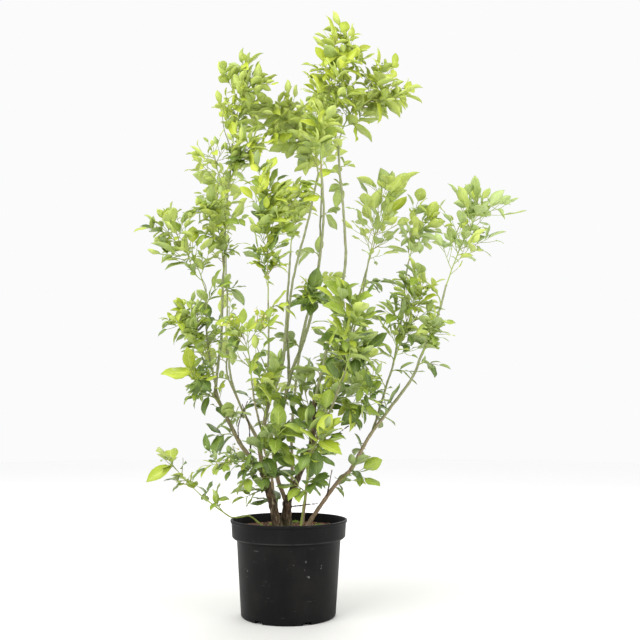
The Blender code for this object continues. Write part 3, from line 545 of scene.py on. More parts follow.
def black_plastic():
    """Moulded black plastic, dusty under its collar, with rubbed places, pale scuffs and a painted
    highlight along the lower edge of its collar.
    """
    finish = Finish("black_plastic", {SHINE: 0.13})
    place = finish.place()
    height = finish.node("ShaderNodeSeparateXYZ", {}, {"Vector": place}, "Z")
    grain = finish.noise(place, 1400.0, 2.0)
    cloud = finish.noise(place, 11.0, 4.0)
    rubbed = finish.noise(finish.place(z=0.35), 46.0, 5.0, 0.62)
    scratches = finish.noise(finish.place(z=9.0), 24.0, 4.0, 0.65)
    dabs = finish.noise(finish.place(z=0.7), 88.0, 2.0)
    dust = finish.step(cloud, 0.44, 0.74) * (1.0 - finish.step(height, 0.10, 0.30) * 0.5)
    colour = finish.layer(tone(9, 9, 10), rubbed, 0.45, 0.72, 0.5, (18, 18, 19))
    colour = finish.mix(dust * 0.04, colour, tone(112, 106, 98))
    colour = finish.layer(colour, scratches, 0.66, 0.74, 0.25, (120, 118, 116))
    band = finish.step(height, 0.080, 0.105) * (1.0 - finish.step(height, 0.130, 0.155))
    scuff = finish.step(dabs, 0.69, 0.76) * band
    colour = finish.mix(scuff * 0.5, colour, tone(140, 140, 138))
    # Painted highlight: a pale line along the lower edge of the collar, where light catches it.
    edge = 1.0 - finish.step(abs(height - COLLAR_FOOT - COLLAR_ROUND / 2), 0.0004, 0.0022)
    painted_highlight = edge * finish.step(cloud, 0.42, 0.60)
    colour = finish.mix(painted_highlight * 0.2, colour, tone(118, 118, 120))
    roughness = 0.40 + cloud * 0.16 + dust * 0.18 + scuff * 0.2
    return finish.finished(colour, roughness, grain * 0.3 + rubbed * 0.6 + scuff, 0.0003, 0.5)


def compost_crumb():
    """Moist compost: dark crumb with reddish fibre and a few pale grains."""
    finish = Finish("compost_crumb", {SHINE: 0.3})
    place = finish.place()
    crumb = finish.noise(place, 260.0, 6.0, 0.68)
    patches = finish.noise(place, 38.0)
    grains = finish.node("ShaderNodeTexVoronoi", {}, {"Vector": place, "Scale": 420.0})
    chosen = finish.noise(place, 170.0, 1.0)
    colour = finish.mix(finish.step(crumb, 0.36, 0.64), tone(44, 30, 24), tone(104, 72, 52))
    colour = finish.layer(colour, patches, 0.46, 0.70, 0.5, (128, 78, 52))
    grain = (1.0 - finish.step(grains, 0.16, 0.30)) * finish.step(chosen, 0.60, 0.66)
    colour = finish.mix(grain * 0.7, colour, tone(176, 150, 120))
    return finish.finished(colour, 0.98 - crumb * 0.2, crumb + grain * 0.5, 0.0022)


def chip_bark(name, colour, edge):
    """Broken bark and wood fibre."""
    finish = Finish(name, {SHINE: 0.3})
    fibre = finish.noise(finish.place(y=0.35), 520.0, 4.0)
    colours = finish.mix(finish.step(fibre, 0.38, 0.66), tone(*colour), tone(*edge))
    return finish.finished(colours, 0.95 - fibre * 0.2, fibre, 0.0006)


def placed(name, data):
    """A new object in the scene."""
    made = bpy.data.objects.new(name, data)
    bpy.context.scene.collection.objects.link(made)
    return made


def dress(name, mesh, finishes, nodes=()):
    """Put a mesh on the frame with its finishes and the nodes it stands for."""
    made = placed(name, mesh)
    mesh.materials.clear()
    for finish in finishes:
        mesh.materials.append(finish)
    mesh.shade_smooth()
    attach(made, "root")
    if nodes:
        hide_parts(*nodes)
    return made


def mesh_from(name, bm):
    """A mesh with its faces turned outward, from a bmesh that is freed."""
    bmesh.ops.recalc_face_normals(bm, faces=bm.faces)
    mesh = bpy.data.meshes.new(name)
    bm.to_mesh(mesh)
    bm.free()
    return mesh


def applied(made):
    """The mesh that an object shows, its modifiers applied, with the object removed."""
    depsgraph = bpy.context.evaluated_depsgraph_get()
    mesh = bpy.data.meshes.new_from_object(made.evaluated_get(depsgraph))
    bpy.data.objects.remove(made, do_unlink=True)
    return mesh


def smooth(points, step):
    """A smooth route through some points, cut into steps of about one length."""
    ends = [points[0] * 2 - points[1]] + list(points) + [points[-1] * 2 - points[-2]]
    route = [points[0].copy()]
    for before, start, stop, after in zip(ends, ends[1:], ends[2:], ends[3:]):
        count = max(2, round((stop - start).length / step))
        for number in range(1, count + 1):
            t = number / count
            route.append(0.5 * (2 * start + (stop - before) * t
                                + (2 * before - 5 * start + 4 * stop - after) * t * t
                                + (3 * start - before - 3 * stop + after) * t ** 3))
    return route


def distances(route):
    """How far along a route each of its points lies, in metres."""
    total = [0.0]
    for first, second in zip(route, route[1:]):
        total.append(total[-1] + (second - first).length)
    return total


def along_route(route, share):
    """The point and the direction at a share of a route's length."""
    total = distances(route)
    wanted = share * total[-1]
    for number in range(len(route) - 1):
        if wanted <= total[number + 1] or number == len(route) - 2:
            span = total[number + 1] - total[number]
            point = route[number].lerp(route[number + 1], (wanted - total[number]) / span)
            return point, (route[number + 1] - route[number]).normalized()


def wobbled(route):
    """A route with the slight bends that a stem makes at its leaves, its ends kept."""
    inner = []
    for point in route[1:-1]:
        place = point * WOBBLE_SCALE
        bend = Vector([noise.noise(place + Vector((shift,) * 3)) for shift in WOBBLE_SHIFTS])
        inner.append(point + bend * WOBBLE)
    return [route[0], *inner, route[-1]]


def tubes(name, routes, widths, roundness):
    """One mesh of tapering round tubes with closed ends, each along its own route."""
    curve = bpy.data.curves.new(name, "CURVE")
    curve.dimensions = "3D"
    curve.bevel_depth = 1.0
    curve.bevel_resolution = roundness
    curve.use_fill_caps = True
    curve.twist_mode = "MINIMUM"
    for route, radii in zip(routes, widths):
        spline = curve.splines.new("POLY")
        spline.points.add(len(route) - 1)
        for point, centre, radius in zip(spline.points, route, radii):
            point.co = (*centre, 1.0)
            point.radius = radius
    mesh = applied(placed(name, curve))
    bpy.data.curves.remove(curve)
    return mesh


def limb_route(limb, routes, number):
    """A limb's centre line, as in the solids."""
    if limb.host is None:
        start = Vector((*limb.start, COMPOST_TOP - BURIED))
    else:
        start, direction = along_route(routes[limb.host], min(limb.start, 1.0))
        if limb.start >= 1.0:
            start = start - direction * TIP_SINK
    points = [start] + [Vector(knee) for knee in limb.knees] + [Vector(limb.tip)]
    route = smooth(points, CANE_STEP)
    rng = random.Random(number)
    for point in route[2:-1]:
        point.x += rng.uniform(-CANE_WANDER, CANE_WANDER)
        point.y += rng.uniform(-CANE_WANDER, CANE_WANDER)
    return route


def limb_radii(limb, route):
    """A limb's radius along its route: taper, root flare, branch collar and leaf scars."""
    foot, tip = limb.radii
    total = distances(route)
    radii = []
    for distance, point in zip(total, route):
        radius = foot + (tip - foot) * distance / total[-1]
        if limb.host is None:
            above = max(point.z - SOIL, 0.0) / FLARE_HEIGHT
            radius *= 1.0 + (FLARE - 1.0) * max(1.0 - above, 0.0)
        else:
            radius *= 1.0 + COLLAR_SWELL * math.exp(-distance / COLLAR_FADE)
        from_scar = abs((distance % SCAR_SPACING) - SCAR_SPACING / 2) / SCAR_WIDTH
        radii.append(radius * (1.0 + SCAR_SWELL * math.exp(-from_scar ** 2)))
    return radii


def tapered(route, thick, thin):
    """A radius for each point of a route that tapers from one end to the other."""
    total = distances(route)
    return [thick + (thin - thick) * distance / total[-1] for distance in total]


def bark_of(limb):
    """The kind of skin that a limb carries, by its age."""
    if limb.radii[0] > OLD_LIMB_RADIUS:
        return "trunks_bark"
    if limb.host is None and limb.radii[0] < YOUNG_SHOOT_RADIUS:
        return "shoots_skin"
    return "canes_bark"


def ridged(mesh, depth):
    """Push a mesh's skin in and out in ridges that run along it."""
    bm = bmesh.new()
    bm.from_mesh(mesh)
    bm.normal_update()
    moves = []
    for vert in bm.verts:
        stretched = Vector((vert.co.x * RIDGE_TURNS, vert.co.y * RIDGE_TURNS, vert.co.z * RIDGE_LENGTHS))
        ridge = 0.5 - abs(noise.noise(stretched)) * 2
        moves.append(vert.normal * ridge * depth)
    for vert, move in zip(bm.verts, moves):
        vert.co += move
    return mesh_from(mesh.name, bm)


def make_limbs():
    """Trunks in old bark, canes in olive bark and young shoots in green skin, each kind one mesh."""
    routes = {}
    for number, limb in enumerate(LIMBS):
        routes[limb.name] = limb_route(limb, routes, number)
    for name, finish, slot, roundness, depth in (
            ("trunks_bark", old_bark(), "old_bark", 7, RIDGE_DEPTH),
            ("canes_bark", cane_bark(), "cane_bark", 3, CANE_RIDGES),
            ("shoots_skin", young_wood(), "cane_bark", 3, SHOOT_RIDGES)):
        limbs = [limb for limb in LIMBS if bark_of(limb) == name]
        fine = [wobbled(smooth(routes[limb.name], FINE_STEP)) for limb in limbs]
        widths = [limb_radii(limb, route) for limb, route in zip(limbs, fine)]
        for spur in SPURS:
            if spur.bark == name:
                start, _ = along_route(routes[spur.limb], spur.along)
                route = wobbled(smooth([start, Vector(spur.knee), Vector(spur.tip)], FINE_STEP))
                fine.append(route)
                widths.append(tapered(route, spur.radius, SPUR_TIP_RADIUS))
        mesh = ridged(tubes(name, fine, widths, roundness), depth)
        dress(name, mesh, [finish], [limb.name for limb in limbs])
    return routes


def wood_tree():
    """A search tree over all the limbs of the frame."""
    points = []
    faces = []
    for limb in LIMBS:
        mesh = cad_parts[limb.name].data
        first = len(points)
        points += [vert.co.copy() for vert in mesh.vertices]
        faces += [[first + index for index in face.vertices] for face in mesh.polygons]
    return BVHTree.FromPolygons(points, faces)


Shape = namedtuple("Shape", "points faces uvs")


def shape_from(bm, uv_layer=None):
    """A small shape as arrays, from a bmesh that is freed."""
    bm.verts.index_update()
    points = np.array([vert.co for vert in bm.verts])
    faces = [[vert.index for vert in face.verts] for face in bm.faces]
    uvs = []
    if uv_layer is not None:
        uvs = [tuple(loop[uv_layer].uv) for face in bm.faces for loop in face.loops]
    bm.free()
    return Shape(points, faces, uvs)


class Joined:
    """Many small shapes gathered into one mesh."""

    def __init__(self):
        self.points = []
        self.faces = []
        self.uvs = []
        self.total = 0

    def add(self, shape, base, axes, size):
        """Add a shape at a place, along three axes, at a size along each."""
        self.points.append((shape.points * size) @ np.array(axes) + np.array(base))
        self.faces += [[index + self.total for index in face] for face in shape.faces]
        self.uvs += shape.uvs
        self.total += len(shape.points)

    def mesh(self, name):
        """The joined mesh."""
        made = bpy.data.meshes.new(name)
        made.from_pydata(np.concatenate(self.points).tolist(), [], self.faces)
        if self.uvs:
            layer = made.uv_layers.new(name="leaf")
            layer.data.foreach_set("uv", np.array(self.uvs).ravel())
        return made


def axes_along(direction, up):
    """Side, direction and upper side of something that points along a direction."""
    side = direction.cross(up)
    if side.length < 0.05:
        side = direction.orthogonal()
    side.normalize()
    return side, direction, side.cross(direction).normalized()


# How a leaf is bent: folded along its midrib, drooping, with a wave in its edge and a twist.
LeafForm = namedtuple("LeafForm", "fold droop wave twist")
LEAF_FORMS = (LeafForm(0.30, 0.55, 0.02, 0.15), LeafForm(0.15, 0.95, 0.03, -0.20),
              LeafForm(0.50, 0.30, 0.02, 0.10), LeafForm(0.22, -0.25, 0.03, -0.10),
              LeafForm(0.38, 0.75, 0.04, 0.30), LeafForm(0.08, 0.40, 0.05, -0.30))


def leaf_shape(form):
    """A leaf of unit length: a short stalk and a pointed blade, broadest at its middle."""
    bm = bmesh.new()
    bmesh.ops.create_grid(bm, x_segments=LEAF_COLUMNS, y_segments=LEAF_ROWS, size=0.5)
    layer = bm.loops.layers.uv.new("leaf")
    skew, fullness = LEAF_OUTLINE
    for face in bm.faces:
        for loop in face.loops:
            loop[layer].uv = (loop.vert.co.x + 0.5, loop.vert.co.y + 0.5)
    for vert in bm.verts:
        row = (vert.co.y + 0.5) * LEAF_ROWS
        blade = max(row - 1.0, 0.0) / (LEAF_ROWS - 1)
        along = PETIOLE * min(row, 1.0) + (1.0 - PETIOLE) * blade
        half_width = STALK_HALF + LEAF_WIDTH / 2 * math.sin(math.pi * blade ** skew) ** fullness
        if row >= LEAF_ROWS - 0.01:
            half_width = 0.0
        side = vert.co.x * 2 * half_width
        turn = form.twist * along
        bend = form.droop * along
        reach = math.sin(bend) / form.droop
        lift = (math.cos(bend) - 1.0) / form.droop + abs(side) * form.fold
        lift += form.wave * math.sin(along * 3 * math.pi) * abs(vert.co.x * 2)
        vert.co = (side * math.cos(turn), reach, lift + side * math.sin(turn))
    bmesh.ops.remove_doubles(bm, verts=bm.verts, dist=0.0001)
    return shape_from(bm, layer)


class Space:
    """The spindle-shaped space that a mass keeps to."""

    def __init__(self, start, tip, reach):
        self.axis = (tip - start).normalized()
        self.centre = (start + tip) / 2 + self.axis * SOLID_LEAF / 2
        self.half = (tip - start).length / 2 + SOLID_LEAF / 2
        self.reach = reach

    def holds(self, point):
        """Whether a point lies in the space."""
        offset = point - self.centre
        lengthwise = offset.dot(self.axis)
        across = (offset - self.axis * lengthwise).length
        return (lengthwise / self.half) ** 2 + (across / self.reach) ** 2 <= SPACE_SLACK

    def width(self, share):
        """How wide the space is at a share of its stem."""
        offset = (share - WIDEST_AT) / SPINDLE_HALF
        return self.reach * max(math.sqrt(max(1.0 - offset ** 2, 0.0)), NARROWEST)


def touches(tree, points, radius):
    """Whether a thin route comes near a tree's faces."""
    return any(tree.find_nearest(point, radius + CLEAR)[0] for point in points)


def outward(along, turn):
    """The direction square to a route at a turn round it."""
    across = along.orthogonal().normalized()
    return across * math.cos(turn) + along.cross(across) * math.sin(turn)


Shoot = namedtuple("Shoot", "route radii")
LeafPlace = namedtuple("LeafPlace", "base along turn share spray")


class Growth:
    """One mass as it grows: its stem, its twigs, their finer twigs and its leaves."""

    def __init__(self, mass, routes, wood):
        self.mass = mass
        self.wood = wood
        self.rng = random.Random(mass.seed)
        self.phase = self.rng.uniform(0.0, math.tau)
        self.shoots = []
        self.leaves = []
        start, along = along_route(routes[mass.host], mass.along)
        if mass.along >= 1.0:
            start = start - along * TIP_SINK
        tip = Vector(mass.tip)
        control = start + along * (tip - start).length * STEM_BEND
        middle = (start + tip) / 4 + control / 2
        self.stem = wobbled(smooth([start, middle, tip], SHOOT_STEP))
        self.space = Space(start, tip, mass.reach)
        host = next(limb for limb in LIMBS if limb.name == mass.host)
        self.add_shoot(self.stem, min(host.radii[1] * STEM_OF_HOST, STEM_RADIUS))
        self.grow_twigs()
        self.grow_leaves()

    def add_shoot(self, route, thickest):
        """Keep a shoot that tapers to its tip."""
        self.shoots.append(Shoot(route, tapered(route, thickest, TWIG_TIP_RADIUS)))

    def shoot_route(self, host, share, turn, length):
        """A shoot that leaves its host outward and bends upward as it grows."""
        start, along = along_route(host, share)
        spread = TWIG_SPREAD * self.rng.uniform(*TWIG_SPREADS)
        heading = along * math.cos(spread) + outward(along, turn) * math.sin(spread)
        count = max(3, round(length / SHOOT_STEP))
        route = [start]
        for _ in range(count):
            heading = (heading + UP * (TWIG_LIFT * 2 / count)).normalized()
            route.append(route[-1] + heading * length / count)
        return wobbled(route)

    def fits(self, route):
        """Whether a shoot keeps to the space and touches no limb."""
        free = [point for point in route if (point - route[0]).length > TWIG_ROOT]
        return self.space.holds(route[-1]) and not touches(self.wood, free, TWIG_RADIUS)

    def grow_twigs(self):
        """Side twigs up the stem at the golden angle, and finer twigs on the long ones."""
        stem_length = distances(self.stem)[-1]
        if stem_length < SHORTEST_BRANCHED:
            return
        count = round(stem_length * (LAST_TWIG - FIRST_TWIG) / TWIG_SPACING)
        for number in range(count):
            share = FIRST_TWIG + (LAST_TWIG - FIRST_TWIG) * (number + 0.5) / count
            room = (self.space.width(share) - SOLID_LEAF / 2) / math.sin(TWIG_SPREAD)
            for attempt in range(TRIES):
                turn = self.phase + (number + attempt * RETRY_TURN) * GOLDEN_TURN
                length = max(room, SHORTEST_TWIG) * self.rng.uniform(*TWIG_LENGTHS)
                route = self.shoot_route(self.stem, share, turn, length)
                if self.fits(route):
                    self.add_shoot(route, TWIG_RADIUS)
                    self.grow_finer(route, length)
                    break

    def grow_finer(self, twig, length):
        """Finer twigs on a twig that is long enough."""
        if length < FINER_FROM:
            return
        for place, share in enumerate(FINER_PLACES):
            turn = self.phase + place * GOLDEN_TURN * 2
            finer = self.shoot_route(twig, share, turn, length * FINER_SHARE)
            if self.fits(finer):
                self.add_shoot(finer, FINER_RADIUS)

    def leaf_places(self):
        """Where leaves may stand: at the end of each shoot and at even steps along it."""
        tips = []
        sides = []
        for spray, shoot in enumerate(self.shoots):
            total = distances(shoot.route)[-1]
            count = max(1, round(total * (1.0 - FIRST_LEAF) / LEAF_SPACING))
            base, along = along_route(shoot.route, 1.0)
            tips.append(LeafPlace(base, along, 0.0, 1.0, spray))
            for number in range(count):
                share = FIRST_LEAF + (1.0 - FIRST_LEAF) * (number + 0.5) / (count + 0.5)
                base, along = along_route(shoot.route, share)
                turn = self.phase + (spray + number) * GOLDEN_TURN
                sides.append(LeafPlace(base, along, turn, share, spray))
        self.rng.shuffle(sides)
        return tips + sides

    def grow_leading_leaves(self):
        """The few large leaves that some masses hold out at the tip of their stem."""
        count, _ = LEADING_LEAVES.get(self.mass.name, (0, 0))
        sideways, up = LEADING_FACES
        for number in range(count):
            base, along = along_route(self.stem, 1.0 - LEADING_STEP * number)
            turn = self.phase + number * GOLDEN_TURN
            leaf = self.leaf_at(LeafPlace(base, along, turn, 0.9, 0))
            faces = Vector((0.0, math.copysign(sideways, (base - CROWN_AXIS).y), up))
            leaf = leaf._replace(length=self.rng.uniform(*LEADING_LENGTHS),
                                 axes=axes_along(leaf.axes[1], faces))
            if self.leaf_fits(leaf, LeafPlace(base, along, turn, 1.0, 0)):
                self.leaves.append(leaf)

    def grow_leaves(self):
        """Leaves as far as the mass has room for them."""
        wanted = round(self.mass.leaves * LEAVES_FOR_EACH * self.mass.fullness)
        self.grow_leading_leaves()
        middles = [leaf.base + leaf.axes[1] * leaf.length / 2 for leaf in self.leaves]
        for place in self.leaf_places():
            if len(self.leaves) >= wanted:
                return
            leaf = self.leaf_at(place)
            middle = leaf.base + leaf.axes[1] * leaf.length / 2
            if any((middle - other).length < LEAF_APART for other in middles):
                continue
            if self.leaf_fits(leaf, place):
                middles.append(middle)
                self.leaves.append(leaf)

    def leaf_at(self, place):
        """A leaf at a place: how it points, which way it faces and how long it is."""
        rng = self.rng
        length = rng.triangular(*LEAF_LENGTHS) * self.mass.leaf_size
        direction = place.along
        if place.share < 1.0:
            spread = LEAF_SPREAD * rng.uniform(*LEAF_SPREADS)
            direction = (place.along * math.cos(spread)
                         + outward(place.along, place.turn) * math.sin(spread))
            direction = (direction - UP * rng.uniform(*LEAF_DROOPS)).normalized()
        else:
            length *= TIP_LEAF_SHARE
        away = (place.base - CROWN_AXIS) * Vector((1.0, 1.0, 0.0))
        anywhere = Vector([rng.uniform(-1.0, 1.0) for _ in range(3)])
        up = UP + away.normalized() * rng.uniform(*LEAF_FACES_OUT)
        axes = axes_along(direction, up + anywhere * LEAF_FACES_ANYWHERE)
        width = rng.uniform(*LEAF_WIDTHS)
        return Leaf(place.base, axes, length, width, place.spray, rng.randrange(len(LEAF_FORMS)))

    def leaf_fits(self, leaf, place):
        """Whether a leaf keeps to the space and touches no limb."""
        end = leaf.base + leaf.axes[1] * leaf.length
        if place.share < 1.0 and not self.space.holds(end):
            return False
        half = leaf.axes[0] * leaf.length * LEAF_WIDTH / 2
        middle = (leaf.base + end) / 2
        return not touches(self.wood, (middle, middle + half, middle - half, end), CLEAR)


Leaf = namedtuple("Leaf", "base axes length width spray form")

# Leaf tints from the youngest to the most shaded, partly the leaves' age and partly painted light and
# shade: blade, shaded blade and veins
Tint = namedtuple("Tint", "name colour shade vein slot")
TINTS = (
    Tint("leaves_young", tone(191, 202, 66), tone(172, 187, 46), tone(212, 220, 138), "high_foliage"),
    Tint("leaves_fresh", tone(180, 194, 62), tone(154, 172, 44), tone(206, 213, 126), "high_foliage"),
    Tint("leaves_open", tone(152, 172, 58), tone(120, 143, 42), tone(184, 197, 108), "foliage"),
    Tint("leaves_shaded", tone(111, 135, 51), tone(79, 103, 36), tone(154, 172, 97), "foliage"),
    Tint("leaves_pale", tone(172, 190, 120), tone(146, 168, 92), tone(200, 210, 156), "foliage"),
)
UNDERSIDE = tone(206, 222, 150)
UNDERSIDE_SHARE = 0.35
LIGHT_LOW = 0.28
LIGHT_HIGH = 1.42
LIGHT_SPREAD = 0.25
TINT_STEPS = (0.84, 0.50, 0.17)
PALE_MASSES = {"right_far": 0.6, "right_inner": 0.3}


def tint_of(growth, spray, rng):
    """The tint of a spray: brighter high up and darker lower down, in painted light and shade, with a
    random spread.
    """
    if spray == 0 and growth.mass.name in LEADING_LEAVES:
        return LEADING_LEAVES[growth.mass.name][1]
    end = growth.shoots[spray].route[-1]
    if rng.random() < PALE_MASSES.get(growth.mass.name, 0.0):
        return len(TINTS) - 1
    # Painted light and shade: the higher a spray ends, the brighter its tint.
    light = (end.z - LIGHT_LOW) / (LIGHT_HIGH - LIGHT_LOW) + rng.gauss(0.0, LIGHT_SPREAD)
    return sum(light < step for step in TINT_STEPS)


def side_shoots(routes):
    """Short leafy shoots at the golden angle up the limbs, in the form of small masses."""
    rng = random.Random(3)
    shoots = []
    for leafy in LEAFY_LIMBS:
        for number in range(leafy.shoots):
            share = leafy.first + (leafy.last - leafy.first) * (number + rng.random()) / leafy.shoots
            start, along = along_route(routes[leafy.limb], share)
            out = outward(along, (number + rng.random()) * GOLDEN_TURN)
            heading = (out + along * rng.uniform(*SIDE_SHOOT_RISES)).normalized()
            tip = start + heading * rng.uniform(*SIDE_SHOOT_LENGTHS)
            shoots.append(Mass(f"{leafy.limb}_shoot", leafy.limb, share, tuple(tip), SIDE_SHOOT_REACH,
                               SIDE_SHOOT_LEAVES, FIRST_SHOOT_SEED + len(shoots), 1.0, 1.0))
    return shoots


def grow_foliage(routes):
    """Every mass: its twigs in one mesh, its leaves in one mesh for each tint."""
    wood = wood_tree()
    growths = [Growth(mass, routes, wood) for mass in (*MASSES, *side_shoots(routes))]
    shoots = [shoot for growth in growths for shoot in growth.shoots]
    twigs = tubes("twigs", [shoot.route for shoot in shoots], [shoot.radii for shoot in shoots], 1)
    dress("twigs", twigs, [young_wood()], [f"{mass.name}_foliage" for mass in MASSES])
    forms = [leaf_shape(form) for form in LEAF_FORMS]
    joined = [Joined() for _ in TINTS]
    for growth in growths:
        rng = random.Random(growth.mass.seed)
        tints = [tint_of(growth, spray, rng) for spray in range(len(growth.shoots))]
        for leaf in growth.leaves:
            size = (leaf.length * leaf.width, leaf.length, leaf.length)
            joined[tints[leaf.spray]].add(forms[leaf.form], leaf.base, leaf.axes, size)
    for tint, group in zip(TINTS, joined):
        skins = [leaf_skin(tint.name, tint.colour, tint.shade, tint.vein),
                 leaf_skin(f"{tint.name}_under", blended(tint.colour, UNDERSIDE, UNDERSIDE_SHARE),
                           blended(tint.shade, UNDERSIDE, UNDERSIDE_SHARE), UNDERSIDE)]
        leaves = dress(tint.name, group.mesh(tint.name), skins)
        thick = leaves.modifiers.new("thickness", "SOLIDIFY")
        thick.thickness = LEAF_THICKNESS
        thick.offset = -1.0
        thick.material_offset = 1
    return growths


def turned_shape(profile):
    """A small shape of unit length turned round the Y axis from (radius, height) points."""
    bm = spun(profile, SMALL_STEPS)
    for vert in bm.verts:
        vert.co = vert.co.xzy
    bmesh.ops.recalc_face_normals(bm, faces=bm.faces)
    return shape_from(bm)


def hang_clusters(growths):
    """Spent blossom and young berries on short stalks near the ends of the highest twigs."""
    flower, berry = turned_shape(FLOWER_PROFILE), turned_shape(BERRY_PROFILE)
    blossom, berries = Joined(), Joined()
    stalks = []
    for growth in growths:
        rng = random.Random(growth.mass.seed)
        highest = sorted(growth.shoots[1:], key=lambda shoot: -shoot.route[-1].z)
        shoots = highest[:CLUSTERS.get(growth.mass.name, 0)]
        for shoot in shoots:
            start, along = along_route(shoot.route, CLUSTER_AT)
            heading = (along + UP * rng.uniform(*CLUSTER_RISES)).normalized()
            count = rng.randint(*CLUSTER_SIZE)
            axis = [start, start + heading * CLUSTER_LENGTH]
            stalks.append(axis)
            for number in range(count):
                base = axis[0].lerp(axis[1], (number + 1) / count)
                out = outward(heading, number * GOLDEN_TURN)
                hang = (out + UP * rng.uniform(*FLOWER_HANGS)).normalized()
                end = base + hang * FLOWER_STALK
                stalks.append([base, end])
                axes = axes_along(hang, UP)
                if rng.random() < BLOSSOM_SHARE:
                    blossom.add(flower, end, axes, (FLOWER_SIZE,) * 3)
                else:
                    berries.add(berry, end, axes, (BERRY_SIZE,) * 3)
    widths = [[FLOWER_STALK_RADIUS] * len(stalk) for stalk in stalks]
    dress("flower_stalks", tubes("flower_stalks", stalks, widths, 0), [young_wood()])
    dress("blossom", blossom.mesh("blossom"), [patchy("petal")])
    dress("young_berries", berries.mesh("young_berries"), [patchy("berry_skin")])


def spun(profile, steps):
    """A closed bmesh turned round the Z axis from a profile of (radius, height) points."""
    bm = bmesh.new()
    verts = [bm.verts.new((radius, 0.0, height)) for radius, height in profile]
    edges = [bm.edges.new(pair) for pair in zip(verts, verts[1:])]
    bmesh.ops.spin(bm, geom=verts + edges, axis=(0.0, 0.0, 1.0), cent=(0.0, 0.0, 0.0),
                   angle=math.tau, steps=steps, use_merge=True)
    bmesh.ops.remove_doubles(bm, verts=bm.verts, dist=0.00001)
    return bm


def inner_radius(height):
    """The pot's inner radius at a height above its floor."""
    share = min(height / COLLAR_FOOT, 1.0)
    straight = FOOT_RADIUS + (WALL_TOP_RADIUS - FOOT_RADIUS) * share - POT_WALL
    widening = min(max(height - COLLAR_FOOT, 0.0) / INSIDE_WIDENS, 1.0)
    return straight + (COLLAR_FOOT_RADIUS - POT_WALL - straight) * widening


def make_pot():
    """The pot with its rolled lip, its collar and the drainage notches round its foot."""
    widened = COLLAR_FOOT + INSIDE_WIDENS
    bm = spun([
        (0.0, FLOOR_THICKNESS),
        (inner_radius(FLOOR_THICKNESS), FLOOR_THICKNESS),
        (inner_radius(COLLAR_FOOT), COLLAR_FOOT),
        (inner_radius(widened), widened),
        (COLLAR_RADIUS - POT_WALL, POT_HEIGHT),
        (RIM_RADIUS, POT_HEIGHT),
        (RIM_RADIUS, POT_HEIGHT - LIP_HEIGHT),
        (COLLAR_RADIUS, POT_HEIGHT - LIP_HEIGHT - LIP_ROUND),
        (COLLAR_FOOT_RADIUS, COLLAR_FOOT + COLLAR_ROUND),
        (COLLAR_FOOT_RADIUS - COLLAR_ROUND, COLLAR_FOOT),
        (WALL_TOP_RADIUS, COLLAR_FOOT - COLLAR_ROUND / 2),
        (FOOT_RADIUS + FOOT_ROUND / 2, FOOT_ROUND),
        (FOOT_RADIUS - FOOT_ROUND / 2, 0.0),
        (0.0, 0.0),
    ], POT_STEPS)
    bmesh.ops.recalc_face_normals(bm, faces=bm.faces)
    corners = [edge for edge in bm.edges if edge.calc_face_angle(0.0) > EDGE_ANGLE]
    bmesh.ops.bevel(bm, geom=corners, offset=EDGE_ROUND, segments=EDGE_STEPS, profile=0.5,
                    affect="EDGES", material=-1)
    pot = placed("plain_pot", mesh_from("plain_pot", bm))
    notches = placed("notches", notch_mesh())
    cut = pot.modifiers.new("notches", "BOOLEAN")
    cut.operation = "DIFFERENCE"
    cut.solver = "EXACT"
    cut.object = notches
    mesh = applied(pot)
    bpy.data.objects.remove(notches, do_unlink=True)
    dress("nursery_pot", mesh, [black_plastic()], ["pot"])
    mesh.set_sharp_from_angle(angle=EDGE_ANGLE * 2)


def notch_mesh():
    """The blocks that cut the drainage notches."""
    bm = bmesh.new()
    for number in range(DRAIN_NOTCHES):
        turn = NOTCH_FIRST_TURN + math.tau * number / DRAIN_NOTCHES
        block = bmesh.ops.create_cube(bm, size=1.0)["verts"]
        for vert in block:
            out = vert.co.x * 2 * NOTCH_DEPTH + FOOT_RADIUS
            side = vert.co.y * NOTCH_WIDTH
            vert.co = (out * math.cos(turn) - side * math.sin(turn),
                       out * math.sin(turn) + side * math.cos(turn), vert.co.z * 2 * NOTCH_HEIGHT)
    return mesh_from("notches", bm)


def compost_height(x, y):
    """The height of the lumpy compost at a place."""
    place = Vector((x, y, 0.0))
    lumps = sum(noise.noise(place * size) * share for size, share in LUMP_SIZES)
    return COMPOST_TOP + lumps * COMPOST_LUMPS


def make_compost():
    """The compost: a lumpy top of fine crumb over the block that fills the pot."""
    edge = inner_radius(COMPOST_TOP) - COMPOST_GAP
    floor = FLOOR_THICKNESS + COMPOST_GAP
    rings = round(edge / COMPOST_RING)
    profile = [(edge * number / rings, COMPOST_TOP) for number in range(rings + 1)]
    for height in (COLLAR_FOOT + INSIDE_WIDENS, COLLAR_FOOT, floor):
        profile.append((inner_radius(height) - COMPOST_GAP, height))
    profile.append((0.0, floor))
    bm = spun(profile, COMPOST_TURNS)
    for vert in bm.verts:
        if vert.co.z > COMPOST_TOP - COMPOST_GAP:
            vert.co.z = compost_height(vert.co.x, vert.co.y)
    dress("compost_top", mesh_from("compost_top", bm), [compost_crumb()], ["compost"])


def chip_shape(rng):
    """An angular chip of bark of unit length."""
    bm = bmesh.new()
    bmesh.ops.create_icosphere(bm, subdivisions=1, radius=0.5)
    for vert in bm.verts:
        vert.co *= rng.uniform(*CHIP_CORNERS)
    return shape_from(bm)


